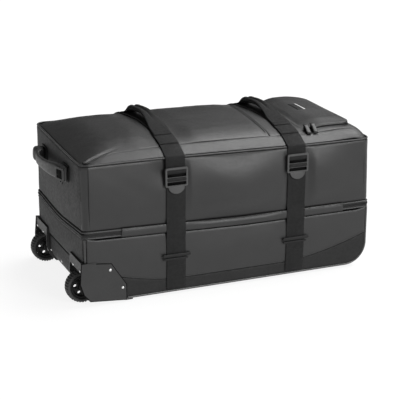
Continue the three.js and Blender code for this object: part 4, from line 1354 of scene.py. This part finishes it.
BUCKLE_HALF = 30.0
BUCKLE_LOW = 284.0
BUCKLE_HIGH = 333.0
BUCKLE_THICK = 5.0
BUCKLE_SLOTS = [(309.0, 328.0), (288.0, 297.0)]
BUCKLE_SEATS = (280, 304, 318, 332, 344)
SLOT_HALF = BUCKLE_HALF - 4.5
WRAP_UNDER = (316.5, 327.5)
WRAP_OVER = (297.2, 308.8)
TONGUE_HALF = 22.0
TONGUE_TOP = BUCKLE_LOW + 1
TONGUE_HIGH = 19.0
TONGUE_LEAN = 0.12
SLIDER_HALF = 38.0
SLIDER_Z = 103.0
SLIDER_HIGH = 8.0
LOWER_BAR_HALF = 34.0
LOWER_BAR_ASIDE = 3.0
ON_FRONT = on_face(0.0, -1)


def on_tongue(a, b, depth):
    return a, -depth - TONGUE_LEAN * (BUCKLE_LOW - b), b


def build_buckle(key, x):
    face = max(float(skin_out(x, z, -1)) for z in BUCKLE_SEATS) + WEB_FACE + GAP
    rim = box_rim(x - BUCKLE_HALF, BUCKLE_LOW, x + BUCKLE_HALF, BUCKLE_HIGH, 4.0)
    holes = [box_rim(x - SLOT_HALF, low, x + SLOT_HALF, high, 1.5)[::-1] for low, high in BUCKLE_SLOTS]
    ring = plate(f"buckle_ring_{key}", rim, holes, ON_FRONT, face, face + BUCKLE_THICK, 1.2)
    turn = np.linspace(np.pi, 2 * np.pi, 25)
    tongue_rim = xyz(x + TONGUE_HALF * np.cos(turn), TONGUE_TOP + TONGUE_HIGH * np.sin(turn))
    tongue = plate(f"buckle_tongue_{key}", tongue_rim, [], on_tongue, face + 1.0, face + 4.0, 0.9)
    dress(join(f"buckle_{key}_clip", [ring, tongue]), CLIP, [f"buckle_{key}"])
    steps = np.linspace(0, 1, 11)
    under = 0.4 + 2.6 * smooth(steps * 2)
    over = 1.0 + 4.6 * arch(steps) ** 0.6
    wraps = []
    for (low, high), stand in ((WRAP_UNDER, under), (WRAP_OVER, over)):
        path = xyz(x, -(face + stand), lerp(low, high, steps))
        rings = strip_rings(path, (0, -1, 0), 2 * SLOT_HALF - 1.0, WEB_THICK)
        wraps.append(loft(f"wrap_{key}_{low:.0f}", rings))
    dress(join(f"buckle_{key}_webbing", wraps), WEBBING)
    # Painted shade: black plates behind the slots stand in for the shadow between the webbing and the strap
    wells = []
    for low, high in BUCKLE_SLOTS:
        well = box_rim(x - SLOT_HALF - 1, low - 1, x + SLOT_HALF + 1, high + 1, 1.5)
        wells.append(plate(f"well_{key}_{low:.0f}", well, [], ON_FRONT, face - 0.2, face + 0.3))
    dress(join(f"buckle_{key}_painted_shade", wells), PAINTED_SHADE)


def build_slider(key, x):
    face = float(skin_out(x, SLIDER_Z, -1)) + WEB_FACE + 2 * GAP
    low = SLIDER_Z - SLIDER_HIGH / 2
    rim = box_rim(x - SLIDER_HALF, low, x + SLIDER_HALF, low + SLIDER_HIGH, 3.0)
    bar = plate(f"slider_bar_{key}", rim, [], ON_FRONT, face, face + 4.5, 1.4)
    middle = x - LOWER_BAR_ASIDE
    rim = box_rim(middle - LOWER_BAR_HALF, low - 8, middle + LOWER_BAR_HALF, low - 3, 2.0)
    second = plate(f"slider_lower_bar_{key}", rim, [], ON_FRONT, face, face + 3.5, 1.2)
    dress(join(f"slider_{key}_bar", [bar, second]), HUB, [f"slider_{key}"])


# Grab handle on the wheel end
GRIP_Z = 316.0
PATCHES = {"back": 101.0, "front": -92.0}
PATCH_WIDE = 56.0
PATCH_HIGH = 44.0
PATCH_ROUND = 9.0
PATCH_LIFT = 0.8
PATCH_THICK = 2.0
# Columns: y, how far the middle stands out, thickness, height, drop
GRIP_ROWS = [
    (125, 9.0, 14.0, 26, 0), (120, 12.0, 22.0, 34, 0), (93, 13.0, 24.0, 36, 0), (84, 20.0, 14.0, 32, 1),
    (73, 23.0, 11.0, 28, 3), (45, 24.0, 11.0, 27, 4), (5, 24.0, 11.0, 29, 3), (-38, 21.0, 11.0, 34, 1),
    (-62, 15.5, 13.0, 37, 0), (-84, 9.4, 14.0, 38, 0), (-104, 6.2, 11.5, 38, 0), (-114, 4.9, 9.0, 37, 0),
    (-118, 4.4, 7.0, 33, 0),
]
GRIP_SQUARE = 0.62
# The eye in the grip: its front and back, its low and high edge, and the frame round it
EYE_Y = (-110.0, -80.0)
EYE_Z = (302.0, 325.0)
EYE_FRAME = (6.0, 5.0)
EYE_PROUD = 1.8
EYE_DEEP = 0.4
EYE_BAR_Y = (-107.5, -105.0)
TAB_RIM = [(-80, 300), (-31, 289), (-50, 276), (-62, 276)]
TAB_EYE = [(-70, 293), (-58, 280), (-53, 280), (-43, 288)]


def on_end(a, b, depth):
    return -(float(end_out(a, b)) + PATCH_LIFT + depth), a, b


def rounded_wave(wave):
    """A sine or cosine drawn out towards a square."""
    return np.sign(wave) * np.abs(wave) ** GRIP_SQUARE


def build_grip():
    """Builds the padded grip and returns the places along it and how far its face stands out."""
    ys, stand, thicks, highs, drops = spline(GRIP_ROWS, 110).T
    wall = end_out(ys, GRIP_Z)
    centre = xyz(-(wall + PATCH_LIFT + PATCH_THICK + GAP + stand), ys, GRIP_Z)
    way = unit(np.gradient(centre, axis=0))
    turn = circle(24)
    outs = rounded_wave(np.cos(turn)) * thicks[:, None] / 2
    rise = rounded_wave(np.sin(turn)) * highs[:, None] / 2 - drops[:, None]
    lean = wall[:, None] - end_out(ys[:, None], GRIP_Z + rise)
    out = xyz(way[:, 1], -way[:, 0], 0.0)
    rings = centre[:, None] + out[:, None] * outs[..., None] + xyz(lean, 0.0, rise)
    piece = loft("end_handle_grip", rings)
    dress(piece, TRIM, ["end_handle"])
    return ys, rings[:, :, 0].min(1)


def build_end_handle():
    for name, y in PATCHES.items():
        low = (y - PATCH_WIDE / 2, GRIP_Z - PATCH_HIGH / 2)
        rim = rounded_rim(*low, y + PATCH_WIDE / 2, GRIP_Z + PATCH_HIGH / 2, PATCH_ROUND)
        piece = plate(f"end_patch_{name}", rim, [], on_end, 0.0, PATCH_THICK, 0.7)
        patch = join(f"end_handle_patch_{name}_mould", [piece])
        dress(patch, WEBBING, [f"end_handle_patch_{name}"])
    ys, face = build_grip()
    on_grip = lambda a, b, depth: (float(np.interp(-a, -ys, face)) - depth, a, b)
    y0, y1 = EYE_Y
    z0, z1 = EYE_Z
    wider, higher = EYE_FRAME
    eye = rounded_rim(y0, z0, y1, z1, 3.0, 3.0)
    rim = rounded_rim(y0 - wider, z0 - higher, y1 + wider, z1 + higher, 6.0, 3.0)
    eye_ring = plate("eye_ring", rim, [eye[::-1]], on_grip, -1.0, EYE_PROUD, 0.8)
    bar_rim = box_rim(EYE_BAR_Y[0], z0, EYE_BAR_Y[1], z1, 0.5)
    bar = plate("eye_bar", bar_rim, [], on_grip, 0.0, 1.2, 0.4)
    dress(join("end_handle_eye", [eye_ring, bar]), HOUSING)
    # Painted shade: a black plate sunk in the eye stands in for the shade in its hollow
    dress(plate("end_handle_eye_well", eye, [], on_grip, -1.0, EYE_DEEP), PAINTED_SHADE)
    tab = join("end_handle_tab_ring", [plate("tab_ring", TAB_RIM, [TAB_EYE], on_end, 0.0, 2.6, 0.7)])
    dress(tab, HUB, ["end_handle_tab"])


# Wheels, housings and rivets
TYRE_HALF = [(31.3, 11.2), (34.0, 13.2), (37.0, 14.0), (39.2, 13.2), (40.8, 11.6), (41.7, 9.0), (42.0, 5.0)]
TYRE_PROFILE = [(r, -y) for r, y in TYRE_HALF] + [(42.0, 0.0)] + TYRE_HALF[::-1] + [(31.3, 0.0)]
HUB_RIM_PROFILE = [(25.6, -9.5), (30.7, -9.5), (30.7, 9.5), (25.6, 9.5), (26.6, 0.0)]
BOSS_PROFILE = [(5.5, -13.0), (9.0, -13.0), (10.0, -12.0), (10.0, 12.0), (9.0, 13.0), (5.5, 13.0)]
DISC_RADIUS = 27.0
DISC_HALF = 4.5
BORE_RADIUS = 5.5
HUB_GAPS = 5
HUB_GAP_TURN = 0.5
HUB_GAP_RADIUS = 4.8
HUB_GAP_PLACE = 18.0
LUGS = 34
LUG_DEPTH = 2.2
LUG_SLANT = 0.22
TREAD_RADIUS = 38.0
PLATE_RIVETS = [(-334.0, 86.0), (-302.0, 35.0)]
FLANGE_RIVETS = [(138.0, 88.0), (195.0, 88.0)]
FLANGE_FACE = 407.6
KICK_RIVETS_Y = (-98.0, 0.0, 98.0)
KICK_RIVET_Z = 47.0
RIVET_PROFILE = [(0.05, 0.0), (3.9, 0.0), (3.9, 0.5), (3.2, 1.2), (1.8, 1.8), (0.05, 2.0)]
# How far the painted shadow round a housing's outer plate reaches beyond its rim
SHADOW_RIM_REACH = 2.4


def lugs(turn, radius, offset):
    """Cuts slanting grooves into a tyre's outer face."""
    groove = smooth((np.sin(turn * LUGS + np.abs(offset) * LUG_SLANT) - 0.35) / 0.3)
    return radius - LUG_DEPTH * groove * smooth((radius - TREAD_RADIUS) / 2.5)


def build_wheels():
    places = ring_rim(HUB_GAP_PLACE, HUB_GAPS, WHEEL_X, WHEEL_Z, HUB_GAP_TURN)
    gaps = [ring_rim(HUB_GAP_RADIUS, 20, *place)[::-1] for place in places]
    bore = ring_rim(BORE_RADIUS, 24, WHEEL_X, WHEEL_Z)[::-1]
    for name, sign in FACES.items():
        centre = (WHEEL_X, sign * WHEEL_Y, WHEEL_Z)
        tyre = lathe(f"tyre_{name}_tread", TYRE_PROFILE, centre, 240, lugs)
        dress(tyre, RUBBER, [f"tyre_{name}"], f"wheel_{name}")
        rim = ring_rim(DISC_RADIUS, 64, WHEEL_X, WHEEL_Z)
        middle = on_face(centre[1], 1)
        disc = plate(f"hub_disc_{name}", rim, gaps + [bore], middle, -DISC_HALF, DISC_HALF, 0.8, 2)
        outer = lathe(f"hub_rim_{name}", HUB_RIM_PROFILE, centre, 64)
        boss = lathe(f"hub_boss_{name}", BOSS_PROFILE, centre, 40)
        hub = join(f"hub_{name}_wheel", [disc, outer, boss])
        dress(hub, HUB, [f"hub_{name}"], f"wheel_{name}")


def restyle(node, material, bevel=0.0):
    """Gives a shown CAD node its finish."""
    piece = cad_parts[node]
    piece.data.materials.clear()
    piece.data.materials.append(material)
    if bevel:
        soften(piece, bevel, 3, 30)


def rivets(name, places, way):
    """Round rivet heads standing on a face; way is the face's outward direction."""
    turn = circle(24)[:, None]
    side = np.cross(way, [0.0, 0.0, 1.0])
    spin = np.cos(turn) * side + np.sin(turn) * np.cross(side, way)
    head = np.array([spin * r + np.asarray(way) * h for r, h in RIVET_PROFILE])
    return [loft(f"rivet_{name}_{i}", head + place) for i, place in enumerate(places)]


def build_plate_shadow(name, sign):
    """Painted shadow: a black rim round a housing's outer plate, standing in for the shadow gap at its edge.
    """
    rim = np.array(PLATE_RIM, float)
    rim = rim + unit(rim - rim.mean(0)) * SHADOW_RIM_REACH
    face = on_face(sign * PLATE_FACE, -sign)
    dress(plate(f"housing_painted_shadow_{name}", rim, [], face, 0.8, 1.6), PAINTED_SHADE)


def build_kick_rivets():
    rise = math.asin((BASE_CORNER - KICK_RIVET_Z) / BASE_CORNER)
    way = (-math.cos(rise), 0.0, -math.sin(rise))
    x = BASE_CORNER - HALF + BASE_CORNER * way[0]
    heads = rivets("kick", [(x, y, KICK_RIVET_Z) for y in KICK_RIVETS_Y], way)
    dress(join("kick_rivets", heads), STEEL)


def build_housings():
    build_kick_rivets()
    for end in ("wheel_end", "far_end"):
        for name in FACES:
            restyle(f"base_foot_{end}_{name}", HOUSING, 0.8)
    for name, sign in FACES.items():
        restyle(f"wheel_housing_{name}", HOUSING, 1.2)
        restyle(f"axle_{name}", STEEL)
        build_plate_shadow(name, sign)
        outer = [(x, sign * PLATE_FACE, z) for x, z in PLATE_RIVETS]
        rear = [(-FLANGE_FACE, sign * y, z) for y, z in FLANGE_RIVETS]
        heads = rivets(f"plate_{name}", outer, (0, sign, 0)) + rivets(f"flange_{name}", rear, (-1, 0, 0))
        dress(join(f"housing_rivets_{name}", heads), STEEL)


# Studio: pale floor, soft light and the photograph's view
WORLD_LIGHT = 0.04
FLOOR_GREY = 0.16
FLOOR_GLOW = 0.86
FLOOR_REACH = 30.0
FLOOR_Z = -0.0004
WHITE = (1, 1, 1, 1)
# Each lamp: name, azimuth, elevation, strength, spread
LAMPS = [
    ("key", 95.0, 60.0, 2.5, 40.0), ("front", 23.0, 22.0, 2.0, 28.0), ("back", 130.0, 40.0, 0.7, 46.0),
    ("high", -10.0, 60.0, 0.2, 60.0), ("fill", -55.0, 22.0, 0.4, 60.0), ("rear", 178.0, 26.0, 0.045, 40.0),
]
VIEW_AZIMUTH = -22.8
VIEW_ELEVATION = 17.4
VIEW_DISTANCE = 3241.0
VIEW_TARGET = np.array([-4.0, 0.0, 167.7])
FRAME_PIXELS = 400.0
FOCAL_PIXELS = 1191.0


def aim(name, data, azimuth, elevation):
    """A lamp or camera that looks at the bag from an azimuth and elevation, and the way back to it."""
    a = math.radians(azimuth)
    e = math.radians(elevation)
    back = Vector((math.sin(a) * math.cos(e), -math.cos(a) * math.cos(e), math.sin(e)))
    holder = new_object(name, data)
    holder.rotation_mode = "QUATERNION"
    holder.rotation_quaternion = back.to_track_quat("Z", "Y")
    return holder, back


def build_studio():
    floor_mesh = bpy.data.meshes.new("floor")
    ways = ((-1, -1), (1, -1), (1, 1), (-1, 1))
    corners = [(a * FLOOR_REACH, b * FLOOR_REACH, FLOOR_Z) for a, b in ways]
    floor_mesh.from_pydata(corners, [], [(0, 1, 2, 3)])
    paper = finish("floor_paper", FLOOR_GREY, 0.9, 0.1, grain=(2.0, 0.01), mottle=0.005)
    shader = paper.node_tree.nodes["Principled BSDF"]
    shader.inputs["Emission Color"].default_value = WHITE
    shader.inputs["Emission Strength"].default_value = FLOOR_GLOW
    floor_mesh.materials.append(paper)
    floor = new_object("floor", floor_mesh)
    world = bpy.data.worlds.new("studio")
    bpy.context.scene.world = world
    world.use_nodes = True
    sky = world.node_tree.nodes["Background"]
    sky.inputs["Color"].default_value = WHITE
    sky.inputs["Strength"].default_value = WORLD_LIGHT
    for name, azimuth, elevation, strength, spread in LAMPS:
        light = bpy.data.lights.new(name, "SUN")
        light.energy = strength
        light.angle = math.radians(spread)
        aim(name, light, azimuth, elevation)


def build_camera():
    camera = bpy.data.cameras.new("camera")
    camera.sensor_width = 36.0
    camera.lens = FOCAL_PIXELS / FRAME_PIXELS * camera.sensor_width
    camera.clip_end = 100.0
    holder, back = aim("camera", camera, VIEW_AZIMUTH, VIEW_ELEVATION)
    holder.location = Vector((VIEW_TARGET + SHIFT) * MM) + back * VIEW_DISTANCE * MM
    bpy.context.scene.camera = holder
    bpy.context.scene.view_settings.view_transform = "Standard"


build_camera()
build_studio()
build_upper_walls()
build_zip_band()
build_flap()
build_lower_faces()
build_base()
build_lower_ends()
build_piping()
build_top()
build_lining()
build_pocket()
build_straps()
build_end_handle()
build_wheels()
build_housings()
dress(block_object("stitches", STITCHES), THREAD)
dress(block_object("zip_teeth", TEETH_ROWS), TEETH)
